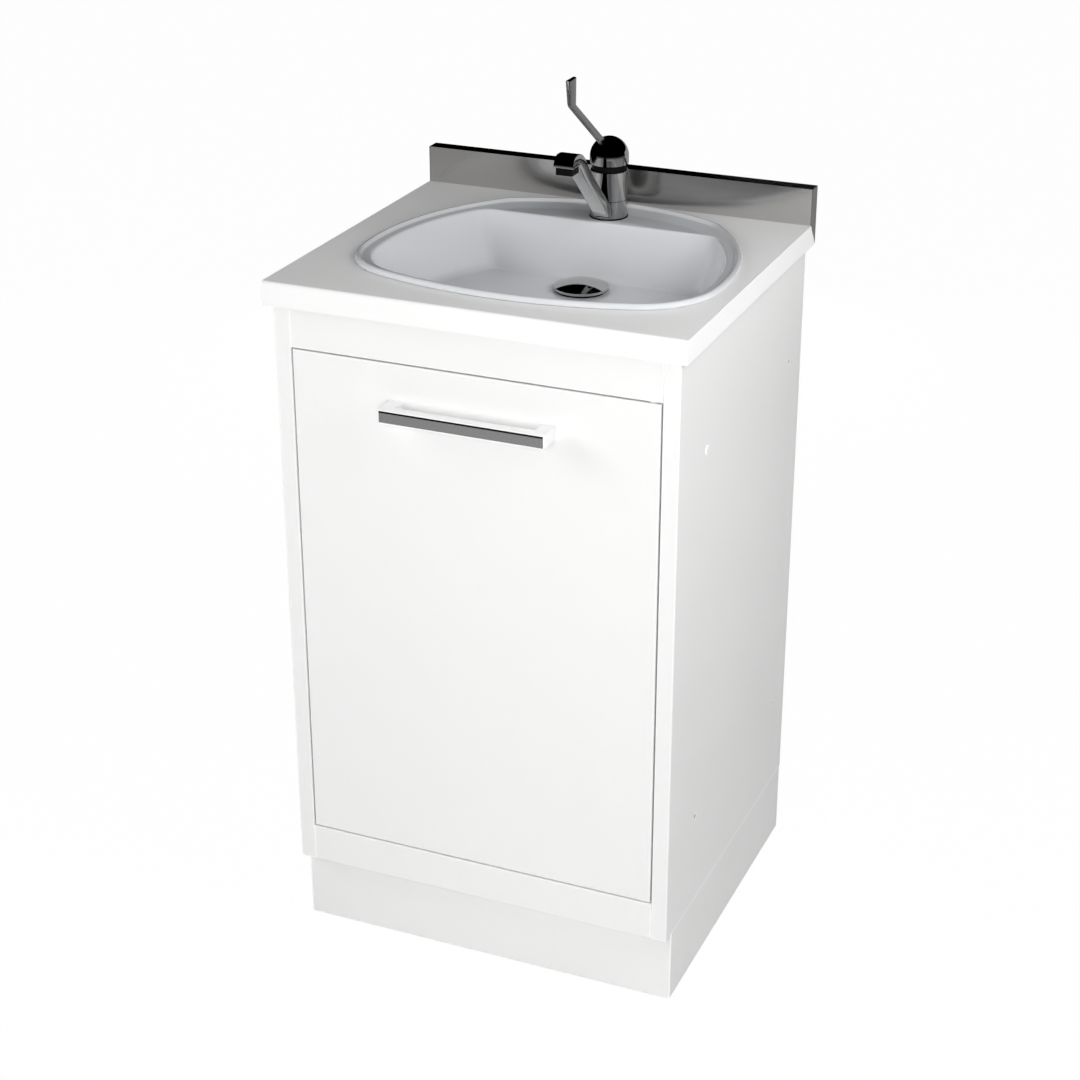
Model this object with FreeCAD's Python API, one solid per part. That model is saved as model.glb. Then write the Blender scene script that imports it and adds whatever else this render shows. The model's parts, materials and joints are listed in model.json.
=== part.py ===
import FreeCAD, Part
import math
import os

# Sink cabinet for a laboratory, clinic or hospital room, in millimetres.
# X runs to the right, Y towards the wall and Z up.
# The origin is on the floor, midway across the cabinet and midway between handle and wall.

V = FreeCAD.Vector

# Cabinet body
body_width = 500.0
body_depth = 457.4
body_top = 847.9
sheet = 1.2
stile_width = 20.2
post_return = 30.0
top_rail_height = 51.1
bottom_rail_height = 49.0
floor_flange = 25.0
back_panel_height = 492.5
back_flange = 15.0
overrun = 1.0

# Holes in the sides that join cabinets in a row
join_hole_radius = 3.25
join_hole_front = 95.0
join_hole_rear = 49.9
join_hole_bottom = 124.0
join_hole_top = 138.9
plug_radius = 6.0
plug_head = 1.6
plug_stem_length = 8.0
plug_clearance = 0.15

# Plinth
plinth_height = 98.5
plinth_front_inset = 19.9
plinth_side_inset = 0.7
plinth_sheet = 1.5
plinth_flange = 20.0

# Door, its pivots and its catch
door_gap = 1.9
door_thickness = 20.0
door_edge_radius = 1.5
liner_sheet = 0.8
liner_flange = 14.0
pivot_edge_distance = 10.0
pivot_depth = 5.5
pivot_radius = 2.0
pivot_running_gap = 0.05
pivot_rise = 6.0
pivot_block_width = 22.0
pivot_block_height = 25.0
pivot_hole_gap = 0.5
bushing_wall = 1.5
bushing_flange_radius = 4.8
bushing_flange_gap = 0.3
bushing_fit_gap = 0.05
catch_width = 16.0
catch_depth = 24.0
catch_height = 40.0
catch_edge_radius = 1.2
catch_share = 0.50
strike_thickness = 1.0
strike_width = 20.0
strike_height = 32.0
strike_edge_distance = 3.0
catch_gap = 0.3

# Handle
handle_length = 206.0
handle_height = 17.0
handle_projection = 32.5
handle_bar_depth = 12.0
handle_post_width = 16.0
handle_centre_below_opening = 54.4
handle_edge_radius = 2.0
strip_frame = 1.5
strip_thickness = 1.0
screw_radius = 2.0
screw_head_radius = 3.6
screw_head_height = 2.4
screw_grip = 12.0
screw_gap = 0.1

# Worktop and splashback
worktop_thickness = 28.3
worktop_front_overhang = 9.5
worktop_side_overhang = 9.7
worktop_edge_radius = 4.5
worktop_rear_overhang = 4.5
edge_band = 1.0
splash_thickness = 20.6
splash_height = 46.0
splash_sheet = 0.8
splash_cap = 1.0

# Basin: the outline of its rim is a chain of tangent arcs, front to rear
basin_x = 15.0
basin_front = 35.0
basin_side_gap = 18.3
basin_rear_gap = 13.6
front_corner_radius = 98.8
rear_corner_radius = 60.0
front_arc_angle = 18.4
front_corner_angle = 65.2
side_arc_angle = 47.4
rear_corner_angle = 21.3
rim_height = 7.0
rim_edge_radius = 4.6
rim_crown_inset = 5.6
bead_inner_inset = 9.6
bead_drop = 4.0
rim_inner_inset = 32.0
ledge_rise = 1.0
seal_thickness = 0.8
seal_inset = 1.5
seal_width = 6.0
cutout_inset = 9.0
bowl_edge_inset = 20.0
bowl_floor_inset = 54.0
bowl_depth = 66.2
bowl_back_lean = 6.0
bowl_corner_radius = 20.0
bowl_floor_radius = 12.0
bowl_wall = 7.0
ledge_thickness = 14.0
bowl_floor_wall = 10.0

# Waste in the floor of the bowl
waste_to_ledge = 57.5
waste_recess_radius = 38.0
waste_recess_depth = 2.2
waste_hole_radius = 22.6
waste_flange_radius = 35.0
waste_flange_height = 2.0
waste_tube_radius = 22.0
waste_tube_wall = 3.0
waste_tube_length = 30.0
tail_radius = 16.0
tail_wall = 1.5
tail_drop = 72.0
gasket_thickness = 3.0
gasket_width = 9.0
waste_nut_height = 8.0
waste_nut_across = 58.0
plug_cap_radius = 34.0
plug_cap_edge = 3.0
plug_cap_dome = 7.0
plug_cap_gap = 0.9
plug_guide_radius = 4.0
plug_guide_gap = 0.05
plug_collar_radius = 6.0
plug_collar_height = 3.0
plug_lift = 8.0
guide_bar_width = 6.0
guide_bar_height = 6.0
guide_boss_radius = 7.0

# Bottle trap and its outlet to the wall
trap_nut_radius = 23.0
trap_nut_height = 18.0
trap_neck_radius = 19.0
trap_radius = 29.0
trap_wall = 2.5
trap_neck_height = 16.0
trap_body_height = 72.0
trap_cup_height = 52.0
trap_cup_lip = 3.0
trap_cup_lip_height = 14.0
trap_cup_radius = 14.0
outlet_drop = 22.0
outlet_collar_radius = 20.0
outlet_collar_length = 14.0
outlet_nut_radius = 23.0
outlet_nut_length = 18.0
outlet_radius = 16.0
outlet_wall = 2.5
outlet_rebate = 0.5
pipe_gap = 0.1

# Tap, measured from its axis and from the worktop's top
tap_to_rim = 44.7
tap_to_ledge = 33.0
tap_radius = 23.3
tap_edge_radius = 1.2
tap_base_radius = 24.0
tap_base_height = 1.5
tap_seat_gap = 1.5
collar_top = 24.6
collar_gap = 0.3
core_radius = 18.0
core_running_gap = 0.05
body_rim = 61.4
body_wall = 3.0
cartridge_radius = 17.5
cartridge_gap = 0.2
cartridge_bottom = 32.0
neck_radius = 21.5
neck_top = 67.5
neck_wall = 3.0
cap_radius = 24.2
cap_bottom = 68.7
cap_centre = 77.8
cap_wall = 1.6
carrier_radius = 10.0
carrier_bottom = 62.0
carrier_top = 64.5
carrier_ear_top = 72.5
carrier_ear_width = 3.0
carrier_slot = 8.4
stem_width = 8.0
stem_bottom = 65.4
tilt_height = 68.7
tilt_pin_radius = 2.0
tilt_pin_gap = 0.05
shank_radius = 15.0
tap_hole_gap = 1.5
shank_length = 45.2
tap_nut_radius = 21.0
tap_nut_height = 9.0
tap_washer_height = 3.0

# Spout: its side outline, forward of the tap's axis and above the worktop's top
arm_width = 20.0
arm_edge_radius = 3.0
arm_root_low = 4.0
arm_root_high = 22.0
arm_root_bend = 23.2
arm_knee_forward = 93.0
arm_knee_up = 88.8
arm_knee_radius = 14.0
head_width = 25.0
head_reach = 149.3
head_top = 112.8
head_bottom = 100.0
head_under_forward = 127.0
head_side_forward = 112.0
head_nose_radius = 9.0
head_edge_radius = 3.0
head_bend_forward = 124.0
outlet_width = 22.0
outlet_length = 22.0
outlet_height = 10.0
outlet_corner_radius = 4.0
aerator_radius = 9.0
aerator_gap = 0.1
aerator_height = 7.0
aerator_recess = 0.5

# Lever: an upright blade, also by its side outline
lever_thickness = 5.2
lever_edge_radius = 1.2
lever_root_forward = 12.0
lever_root_low = 87.2
lever_root_high = 96.6
lever_elbow_low_forward = 132.4
lever_elbow_low_up = 170.2
lever_elbow_high_forward = 115.8
lever_elbow_high_up = 167.2
lever_tip_forward = 137.8
lever_tip_rear_forward = 115.2
lever_tip_up = 200.8

# Worked-out planes
worktop_reach = body_depth + worktop_rear_overhang
front_y = (handle_projection - worktop_reach) / 2
half_width = body_width / 2
opening_half = half_width - stile_width
body_bottom = plinth_height
opening_bottom = body_bottom + bottom_rail_height
opening_top = body_top - top_rail_height
body_back = front_y + body_depth
worktop_top = body_top + worktop_thickness
worktop_back = front_y + worktop_reach
splash_front = worktop_back - splash_thickness
splash_top = worktop_top + splash_height
door_half = opening_half - door_gap
door_bottom = opening_bottom + door_gap
door_top = opening_top - door_gap
door_back = front_y + door_thickness
pivot_x = door_half - pivot_edge_distance
pivot_y = front_y + pivot_depth
rim_foot = worktop_top + seal_thickness
rim_top = worktop_top + rim_height
ledge_top = worktop_top + ledge_rise
bowl_floor = worktop_top - bowl_depth
bowl_underside = bowl_floor - bowl_floor_wall
basin_rear = splash_front - basin_rear_gap
basin_depth = basin_rear - front_y - basin_front
basin_half_width = half_width + worktop_side_overhang - basin_side_gap - basin_x
tap_y = basin_rear - tap_to_rim
bowl_back = tap_y - tap_to_ledge
waste_y = bowl_back - waste_to_ledge
waste_seat = bowl_floor - waste_recess_depth
tail_bottom = bowl_underside - tail_drop
trap_shoulder_z = tail_bottom - trap_neck_height
trap_joint_z = trap_shoulder_z - trap_body_height
trap_bottom_z = trap_joint_z - trap_cup_height
outlet_z = trap_shoulder_z - outlet_drop
spout_base = ledge_top + tap_base_height
outlet_bottom = head_bottom - outlet_height


def box(x0, x1, y0, y1, z0, z1):
    return Part.makeBox(x1 - x0, y1 - y0, z1 - z0, V(x0, y0, z0))


def disc(radius, x, y, z0, z1):
    return Part.makeCylinder(radius, z1 - z0, V(x, y, z0))


def rod_x(radius, x0, x1, y, z):
    return Part.makeCylinder(radius, x1 - x0, V(x0, y, z), V(1, 0, 0))


def rod_y(radius, x, y0, y1, z):
    return Part.makeCylinder(radius, y1 - y0, V(x, y0, z), V(0, 1, 0))


def tube(outer, inner, x, y, z0, z1):
    return disc(outer, x, y, z0, z1).cut(disc(inner, x, y, z0 - overrun, z1 + overrun))


def tube_y(outer, inner, x, y0, y1, z):
    return rod_y(outer, x, y0, y1, z).cut(rod_y(inner, x, y0 - overrun, y1 + overrun, z))


def hexagon(across, x, y, z0, z1):
    radius = across / 2 / math.cos(math.pi / 6)
    corners = [V(x + radius * math.cos(math.pi * k / 3), y + radius * math.sin(math.pi * k / 3), z0)
               for k in range(7)]
    return Part.Face(Part.makePolygon(corners)).extrude(V(0, 0, z1 - z0))


def side_prism(outline, x0, x1):
    # A solid from x0 to x1 whose side outline is a list of (y, z) corners.
    corners = [V(x0, y, z) for y, z in outline]
    return Part.Face(Part.makePolygon(corners + corners[:1])).extrude(V(x1 - x0, 0, 0))


def folded(path, thickness, run):
    # Sheet folded round its inner surface, then drawn out along run.
    # Of the two sides of the path, the outer one has the rounded bends and so the larger section.
    wire = Part.makePolygon(path)
    sections = [wire.makeOffset2D(side * thickness, 0, True, True) for side in (-1, 1)]
    section = max(sections, key=lambda s: s.Area)
    return section.extrude(run)


def mirrored(shape):
    return shape.mirror(V(0, 0, 0), V(1, 0, 0))


def edges_at(shape, test):
    return [edge for edge in shape.Edges if test(edge.BoundBox)]


def runs_up(b):
    return b.ZLength > b.XLength + b.YLength


def runs_across(b):
    return b.XLength > b.YLength + b.ZLength


def rounded(shape, radius, test):
    return shape.makeFillet(radius, edges_at(shape, test))


# Cabinet body

def join_hole_places():
    ys = [front_y + join_hole_front, body_back - join_hole_rear]
    zs = [body_bottom + join_hole_bottom, body_top - join_hole_top]
    return [(y, z) for y in ys for z in zs]


def side_panel_left():
    outer = -half_width + sheet
    inner = -opening_half - sheet
    back = body_back - sheet
    path = [V(inner, front_y + post_return, body_bottom),
            V(inner, front_y + sheet, body_bottom),
            V(outer, front_y + sheet, body_bottom),
            V(outer, back, body_bottom),
            V(-opening_half, back, body_bottom)]
    panel = folded(path, sheet, V(0, 0, body_top - body_bottom))
    for y, z in join_hole_places():
        panel = panel.cut(rod_x(join_hole_radius, -half_width - overrun, outer + overrun, y, z))
    return panel


def side_panel_right():
    return mirrored(side_panel_left())


def hole_plug():
    y = front_y + join_hole_front
    z = body_top - join_hole_top
    head = rod_x(plug_radius, half_width, half_width + plug_head, y, z)
    head = rounded(head, plug_head / 2, lambda b: b.XMin > half_width + plug_head / 2)
    stem = rod_x(join_hole_radius - plug_clearance, half_width - plug_stem_length, half_width, y, z)
    return head.fuse(stem).removeSplitter()


def rail(z0, z1, face, lip):
    # A channel between the stiles, open towards the inside of the cabinet.
    start = -opening_half
    path = [V(start, lip, z0 + sheet), V(start, face, z0 + sheet),
            V(start, face, z1 - sheet), V(start, lip, z1 - sheet)]
    return folded(path, sheet, V(2 * opening_half, 0, 0))


def bushing_hole(z0, z1):
    return disc(pivot_radius + pivot_running_gap + bushing_wall + bushing_fit_gap,
                pivot_x, pivot_y, z0, z1)


def top_rail():
    return rail(opening_top, body_top, front_y + sheet, front_y + post_return).cut(
        bushing_hole(opening_top - overrun, opening_top + sheet + overrun))


def bottom_rail():
    return rail(body_bottom, opening_bottom, front_y + sheet, front_y + post_return).cut(
        bushing_hole(opening_bottom - sheet - overrun, opening_bottom + overrun))


def rear_brace():
    return rail(opening_top, body_top, body_back - sheet, body_back - post_return)


def floor_panel():
    half = half_width - sheet
    front = front_y + post_return
    back = body_back - sheet
    low = opening_bottom - floor_flange
    tray = box(-half, half, front, back, low, opening_bottom)
    hollow = box(-half + sheet, half - sheet, front + sheet, back - sheet, low - overrun,
                 opening_bottom - sheet)
    return tray.cut(hollow)


def back_panel():
    side = opening_half - sheet
    plate = body_back - sheet
    lip = body_back - back_flange
    path = [V(side, lip, opening_bottom), V(side, plate, opening_bottom),
            V(-side, plate, opening_bottom), V(-side, lip, opening_bottom)]
    return folded(path, sheet, V(0, 0, back_panel_height))


# Plinth

def plinth_side_right():
    outer = half_width - plinth_side_inset - plinth_sheet
    lip = half_width - plinth_side_inset - plinth_flange
    start = front_y + plinth_front_inset + plinth_sheet
    path = [V(lip, start, plinth_height - plinth_sheet), V(outer, start, plinth_height - plinth_sheet),
            V(outer, start, plinth_sheet), V(lip, start, plinth_sheet)]
    return folded(path, plinth_sheet, V(0, body_back - plinth_sheet - start, 0))


def plinth_side_left():
    return mirrored(plinth_side_right())


def plinth_cross(face, lip):
    # The front or rear piece, notched where the side pieces stand behind its face.
    half = half_width - plinth_side_inset
    inner = half - plinth_flange
    sign = math.copysign(1, lip - face)
    path = [V(-half, lip, plinth_height - plinth_sheet), V(-half, face, plinth_height - plinth_sheet),
            V(-half, face, plinth_sheet), V(-half, lip, plinth_sheet)]
    piece = folded(path, plinth_sheet, V(2 * half, 0, 0))
    near = min(face, lip + sign * overrun)
    far = max(face, lip + sign * overrun)
    notch = box(inner, half + overrun, near, far, -overrun, plinth_height + overrun)
    return piece.cut(notch).cut(mirrored(notch))


def plinth_front():
    face = front_y + plinth_front_inset + plinth_sheet
    return plinth_cross(face, face - plinth_sheet + plinth_flange)


def plinth_rear():
    face = body_back - plinth_sheet
    return plinth_cross(face, body_back - plinth_flange)


# Door

def door_pin_hole():
    return disc(pivot_radius + pivot_hole_gap, pivot_x, pivot_y, door_bottom - overrun, door_top + overrun)


def handle_post_places():
    reach = (handle_length - handle_post_width) / 2
    return [-reach, reach]


def handle_z():
    return opening_top - handle_centre_below_opening


def door_shell():
    outer = box(-door_half, door_half, front_y, door_back, door_bottom, door_top)
    outer = rounded(outer, door_edge_radius, lambda b: b.YMax < front_y + door_edge_radius)
    hollow = box(-door_half + sheet, door_half - sheet, front_y + sheet, door_back + overrun,
                 door_bottom + sheet, door_top - sheet)
    shell = outer.cut(hollow).cut(door_pin_hole())
    for x in handle_post_places():
        shell = shell.cut(rod_y(screw_radius + screw_gap, x, front_y - overrun,
                                front_y + sheet + overrun, handle_z()))
    return shell


def door_liner():
    half = door_half - sheet
    low = door_bottom + sheet
    high = door_top - sheet
    front = door_back - liner_flange
    tray = box(-half, half, front, door_back, low, high)
    hollow = box(-half + liner_sheet, half - liner_sheet, front - overrun, door_back - liner_sheet,
                 low + liner_sheet, high - liner_sheet)
    return tray.cut(hollow).cut(door_pin_hole())


def pivot_block(z0, z1):
    right = door_half - sheet - liner_sheet
    block = box(right - pivot_block_width, right, front_y + sheet, door_back - liner_sheet, z0, z1)
    return block.cut(disc(pivot_radius + pivot_running_gap, pivot_x, pivot_y, z0 - overrun, z1 + overrun))


def pivot_block_upper():
    high = door_top - sheet - liner_sheet
    return pivot_block(high - pivot_block_height, high)


def pivot_block_lower():
    low = door_bottom + sheet + liner_sheet
    return pivot_block(low, low + pivot_block_height)


def pivot_pin_upper():
    low = door_top - sheet - liner_sheet - pivot_block_height
    return disc(pivot_radius, pivot_x, pivot_y, low, opening_top + sheet + pivot_rise)


def pivot_pin_lower():
    high = door_bottom + sheet + liner_sheet + pivot_block_height
    return disc(pivot_radius, pivot_x, pivot_y, opening_bottom - sheet - pivot_rise, high)


def bushing(face, direction):
    # A flanged nylon bush in a rail; direction points from the rail towards the door.
    inner = pivot_radius + pivot_running_gap
    flange_end = face + direction * (door_gap - bushing_flange_gap)
    body_end = face - direction * (sheet + pivot_rise)
    flange = disc(bushing_flange_radius, pivot_x, pivot_y, min(face, flange_end), max(face, flange_end))
    body = disc(inner + bushing_wall, pivot_x, pivot_y, min(face, body_end), max(face, body_end))
    bore = disc(inner, pivot_x, pivot_y, min(flange_end, body_end) - overrun,
                max(flange_end, body_end) + overrun)
    return flange.fuse(body).cut(bore).removeSplitter()


def pivot_bushing_upper():
    return bushing(opening_top, -1)


def pivot_bushing_lower():
    return bushing(opening_bottom, 1)


def catch_middle_z():
    return opening_bottom + catch_share * (opening_top - opening_bottom)


def door_catch():
    front = door_back + strike_thickness + catch_gap
    middle = catch_middle_z()
    body = box(-opening_half, -opening_half + catch_width, front, front + catch_depth,
               middle - catch_height / 2, middle + catch_height / 2)
    return rounded(body, catch_edge_radius, runs_across)


def door_strike():
    left = -door_half + strike_edge_distance
    middle = catch_middle_z()
    return box(left, left + strike_width, door_back, door_back + strike_thickness,
               middle - strike_height / 2, middle + strike_height / 2)


# Handle

def handle_bar_front():
    return front_y - handle_projection


def handle_body():
    low = handle_z() - handle_height / 2
    high = handle_z() + handle_height / 2
    half = handle_length / 2
    back = handle_bar_front() + handle_bar_depth
    body = box(-half, half, handle_bar_front(), back, low, high)
    for x in handle_post_places():
        post = box(x - handle_post_width / 2, x + handle_post_width / 2, back, front_y, low, high)
        body = body.fuse(post)
    body = body.removeSplitter()
    body = rounded(body, handle_edge_radius,
                   lambda b: runs_up(b) and b.YMax < front_y - handle_edge_radius)
    pocket = box(-half + strip_frame, half - strip_frame, handle_bar_front() - overrun,
                 handle_bar_front() + strip_thickness, low + strip_frame, high - strip_frame)
    body = body.cut(pocket)
    for x in handle_post_places():
        body = body.cut(rod_y(screw_radius + screw_gap, x, front_y - screw_grip,
                              front_y + overrun, handle_z()))
    return body


def handle_strip():
    half = handle_length / 2 - strip_frame
    reach = handle_height / 2 - strip_frame
    return box(-half, half, handle_bar_front(), handle_bar_front() + strip_thickness,
               handle_z() - reach, handle_z() + reach)


def handle_screws():
    screws = []
    for x in handle_post_places():
        back = front_y + sheet
        head = rod_y(screw_head_radius, x, back, back + screw_head_height, handle_z())
        shank = rod_y(screw_radius, x, front_y - screw_grip, back, handle_z())
        screws.append(head.fuse(shank).removeSplitter())
    return Part.makeCompound(screws)


# Worktop and splashback

def worktop_outline():
    front = front_y - worktop_front_overhang
    return [(front, body_top), (worktop_back, body_top), (splash_front, worktop_top), (front, worktop_top)]


def worktop_profile(x0, x1):
    slab = side_prism(worktop_outline(), x0, x1)
    edge = front_y - worktop_front_overhang + worktop_edge_radius
    middle = body_top + worktop_thickness / 2
    return rounded(slab, worktop_edge_radius,
                   lambda b: runs_across(b) and b.YMax < edge and b.ZMin > middle)


def worktop_half():
    return half_width + worktop_side_overhang


def worktop():
    half = worktop_half() - edge_band
    board = worktop_profile(-half, half)
    return board.cut(solid_between(rim_wire(cutout_inset, body_top - overrun),
                                   rim_wire(cutout_inset, worktop_top + overrun)))


def edge_band_right():
    return worktop_profile(worktop_half() - edge_band, worktop_half())


def edge_band_left():
    return mirrored(edge_band_right())


def splash_prism(x0, x1, skin):
    # The upstand's side outline, drawn in by skin; its foot leans along the mitre of the worktop.
    def mitre(y):
        return body_top + worktop_thickness * (worktop_back - y) / splash_thickness
    near = splash_front + skin
    far = worktop_back - skin
    outline = [(near, mitre(near)), (far, mitre(far)), (far, splash_top - skin), (near, splash_top - skin)]
    return side_prism(outline, x0, x1)


def splash_half():
    return worktop_half() - splash_cap


def splash_core():
    return splash_prism(-splash_half(), splash_half(), splash_sheet)


def splash_cover():
    return splash_prism(-splash_half(), splash_half(), 0).cut(
        splash_prism(-splash_half() - overrun, splash_half() + overrun, splash_sheet))


def splash_cap_right():
    return splash_prism(splash_half(), worktop_half(), 0)


def splash_cap_left():
    return mirrored(splash_cap_right())


# Basin

def along(centre, radius, heading, z):
    # The point of an arc where its path has this heading; 0 runs to +X and 180 degrees to -X.
    angle = math.radians(heading)
    return V(centre.x + radius * math.sin(angle), centre.y - radius * math.cos(angle), z)


def rim_headings():
    turns = [front_arc_angle, front_corner_angle, side_arc_angle, rear_corner_angle]
    return [sum(turns[:k]) for k in range(len(turns) + 1)]


def rim_radii():
    # The corners' radii are set; those of the front and side follow from the width and depth.
    headings = [math.radians(h) for h in rim_headings()]
    closing = math.tan((math.pi - headings[-1]) / 2)
    across = []
    deep = []
    for start, end in zip(headings, headings[1:]):
        across.append(math.sin(min(end, math.pi / 2)) - math.sin(min(start, math.pi / 2)))
        deep.append(math.cos(start) - math.cos(end) + closing * (math.sin(end) - math.sin(start)))
    width = basin_half_width - across[1] * front_corner_radius
    depth = basin_depth - deep[1] * front_corner_radius - deep[3] * rear_corner_radius
    scale = across[0] * deep[2] - across[2] * deep[0]
    front = (width * deep[2] - depth * across[2]) / scale
    side = (depth * across[0] - width * deep[0]) / scale
    return [front, front_corner_radius, side, rear_corner_radius]


def rim_arcs():
    # Centre, radius and headings of each arc on the right half of the rim's foot.
    headings = rim_headings()
    arcs = []
    point = V(basin_x, front_y + basin_front, 0)
    for radius, start, heading in zip(rim_radii(), headings, headings[1:]):
        centre = along(point, -radius, start, 0)
        arcs.append((centre, radius, start, heading))
        point = along(centre, radius, heading, 0)
    radius = (point.x - basin_x) / math.sin(math.radians(heading))
    arcs.append((along(point, -radius, heading, 0), radius, heading, 180))
    return arcs


def half_to_wire(arcs, z):
    # Closes arcs of the right half, and the straight back if they leave one, with their mirror image.
    edges = []
    for centre, radius, start, end in arcs:
        points = [along(centre, radius, h, z) for h in (start, (start + end) / 2, end)]
        edges.append(points)
    last = edges[-1][2]
    if last.x - basin_x > overrun:
        edges.append([last, V(basin_x, last.y, z)])
    left = []
    for points in reversed(edges):
        flipped = [V(2 * basin_x - p.x, p.y, z) for p in reversed(points)]
        left.append(flipped)
    shapes = []
    for points in edges + left:
        if len(points) == 3:
            shapes.append(Part.Arc(*points).toShape())
        else:
            shapes.append(Part.makeLine(*points))
    return Part.Wire(shapes)


def rim_wire(inset, z):
    return half_to_wire([(c, r - inset, a, b) for c, r, a, b in rim_arcs()], z)


def bowl_wire(inset, back, corner, z):
    # The bowl follows the rim's front and sides, then turns a corner into its straight back wall.
    arcs = rim_arcs()
    front, turn, side = arcs[0], arcs[1], arcs[2]
    reach = side[1] - inset - corner
    heading = math.degrees(math.acos((side[0].y + corner - back) / reach))
    middle = along(side[0], reach, heading, 0)
    kept = [(front[0], front[1] - inset, front[2], front[3]),
            (turn[0], turn[1] - inset, turn[2], turn[3]),
            (side[0], side[1] - inset, side[2], heading),
            (middle, corner, heading, 180)]
    return half_to_wire(kept, z)


def solid_between(low, high):
    return Part.makeLoft([low, high], True, True)


def bowl_solid(grow):
    # The hollow of the bowl, or with grow the outside of its wall.
    slope = (bowl_floor_inset - bowl_edge_inset) / bowl_depth
    lean = bowl_back_lean / bowl_depth
    if grow:
        top = ledge_top
        bottom = bowl_underside
    else:
        top = rim_top + overrun
        bottom = bowl_floor
    wires = []
    for z in (bottom, top):
        deep = worktop_top - z
        wires.append(bowl_wire(bowl_edge_inset + slope * deep - grow,
                               bowl_back - lean * deep + grow,
                               bowl_corner_radius + grow, z))
    solid = solid_between(wires[0], wires[1])
    radius = bowl_floor_radius + grow
    return rounded(solid, radius, lambda b: b.ZMax < bottom + radius)


def basin():
    rim = solid_between(rim_wire(0, rim_foot), rim_wire(0, rim_top))
    rim = rounded(rim, rim_edge_radius, lambda b: b.ZMin > (rim_foot + rim_top) / 2)
    skirt_inset = cutout_inset + ledge_rise
    skirt = solid_between(rim_wire(skirt_inset, ledge_top - ledge_thickness),
                          rim_wire(skirt_inset, ledge_top))
    # Inside its bead the rim drops steeply to a land, which slopes gently to the tap ledge.
    land = rim_wire(bead_inner_inset, rim_top - bead_drop)
    dish = solid_between(rim_wire(rim_inner_inset, ledge_top), land)
    dish = dish.fuse(solid_between(land, rim_wire(rim_crown_inset, rim_top)))
    body = rim.fuse(skirt).fuse(bowl_solid(bowl_wall))
    body = body.cut(dish).cut(bowl_solid(0))
    body = body.cut(disc(waste_recess_radius, basin_x, waste_y, waste_seat, bowl_floor + bowl_floor_radius))
    body = body.cut(disc(tap_base_radius + tap_seat_gap, basin_x, tap_y, ledge_top, rim_top + overrun))
    body = body.cut(disc(waste_hole_radius, basin_x, waste_y, bowl_underside - overrun, bowl_floor))
    hole = disc(shank_radius + tap_hole_gap, basin_x, tap_y, ledge_top - ledge_thickness - overrun, rim_top)
    return body.cut(hole).removeSplitter()


def basin_seal():
    outer = solid_between(rim_wire(seal_inset, worktop_top), rim_wire(seal_inset, rim_foot))
    inset = seal_inset + seal_width
    inner = solid_between(rim_wire(inset, worktop_top - overrun), rim_wire(inset, rim_foot + overrun))
    return outer.cut(inner)


# Waste

def waste_flange():
    top = waste_seat + waste_flange_height
    bottom = bowl_underside - waste_tube_length
    body = disc(waste_flange_radius, basin_x, waste_y, waste_seat, top)
    body = rounded(body, waste_flange_height / 2, lambda b: b.ZMin > top - waste_flange_height / 2)
    body = body.fuse(disc(waste_tube_radius, basin_x, waste_y, bottom, waste_seat))
    inner = waste_tube_radius - waste_tube_wall
    body = body.cut(disc(inner, basin_x, waste_y, bottom - overrun, top + overrun))
    guide_top = waste_seat - guide_bar_height
    bar = box(basin_x - inner - waste_tube_wall / 2, basin_x + inner + waste_tube_wall / 2,
              waste_y - guide_bar_width / 2, waste_y + guide_bar_width / 2,
              guide_top - guide_bar_height, guide_top)
    boss = disc(guide_boss_radius, basin_x, waste_y, guide_top - guide_bar_height, guide_top)
    body = body.fuse(bar).fuse(boss)
    bore = disc(plug_guide_radius + plug_guide_gap, basin_x, waste_y, guide_top - guide_bar_height - overrun,
                guide_top + overrun)
    return body.cut(bore).removeSplitter()


def waste_gasket():
    high = bowl_underside
    return tube(waste_tube_radius + gasket_width, waste_tube_radius + pipe_gap, basin_x, waste_y,
                high - gasket_thickness, high)


def waste_nut():
    high = bowl_underside - gasket_thickness
    nut = hexagon(waste_nut_across, basin_x, waste_y, high - waste_nut_height, high)
    return nut.cut(disc(waste_tube_radius + pipe_gap, basin_x, waste_y, high - waste_nut_height - overrun,
                        high + overrun))


def waste_tail():
    high = bowl_underside - waste_tube_length
    body = disc(waste_tube_radius, basin_x, waste_y, high - waste_tube_wall, high)
    body = body.fuse(disc(tail_radius, basin_x, waste_y, tail_bottom, high))
    bore = disc(tail_radius - tail_wall, basin_x, waste_y, tail_bottom - overrun, high + overrun)
    return body.cut(bore).removeSplitter()


def waste_plug():
    low = waste_seat + waste_flange_height + plug_cap_gap
    edge = low + plug_cap_edge
    radius = (plug_cap_radius ** 2 + plug_cap_dome ** 2) / (2 * plug_cap_dome)
    ball = Part.makeSphere(radius, V(basin_x, waste_y, edge + plug_cap_dome - radius))
    dome = ball.common(disc(plug_cap_radius, basin_x, waste_y, edge, edge + plug_cap_dome + overrun))
    guide_top = waste_seat - guide_bar_height
    foot = guide_top - guide_bar_height - plug_lift
    body = disc(plug_cap_radius, basin_x, waste_y, low, edge).fuse(dome)
    body = body.fuse(disc(plug_guide_radius, basin_x, waste_y, foot, low))
    collar = disc(plug_collar_radius, basin_x, waste_y, guide_top, guide_top + plug_collar_height)
    return body.fuse(collar).removeSplitter()


# Trap

def trap_nut():
    high = tail_bottom + trap_nut_height
    nut = disc(trap_nut_radius, basin_x, waste_y, tail_bottom, high)
    return nut.cut(disc(tail_radius + pipe_gap, basin_x, waste_y, tail_bottom - overrun, high + overrun))


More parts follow.
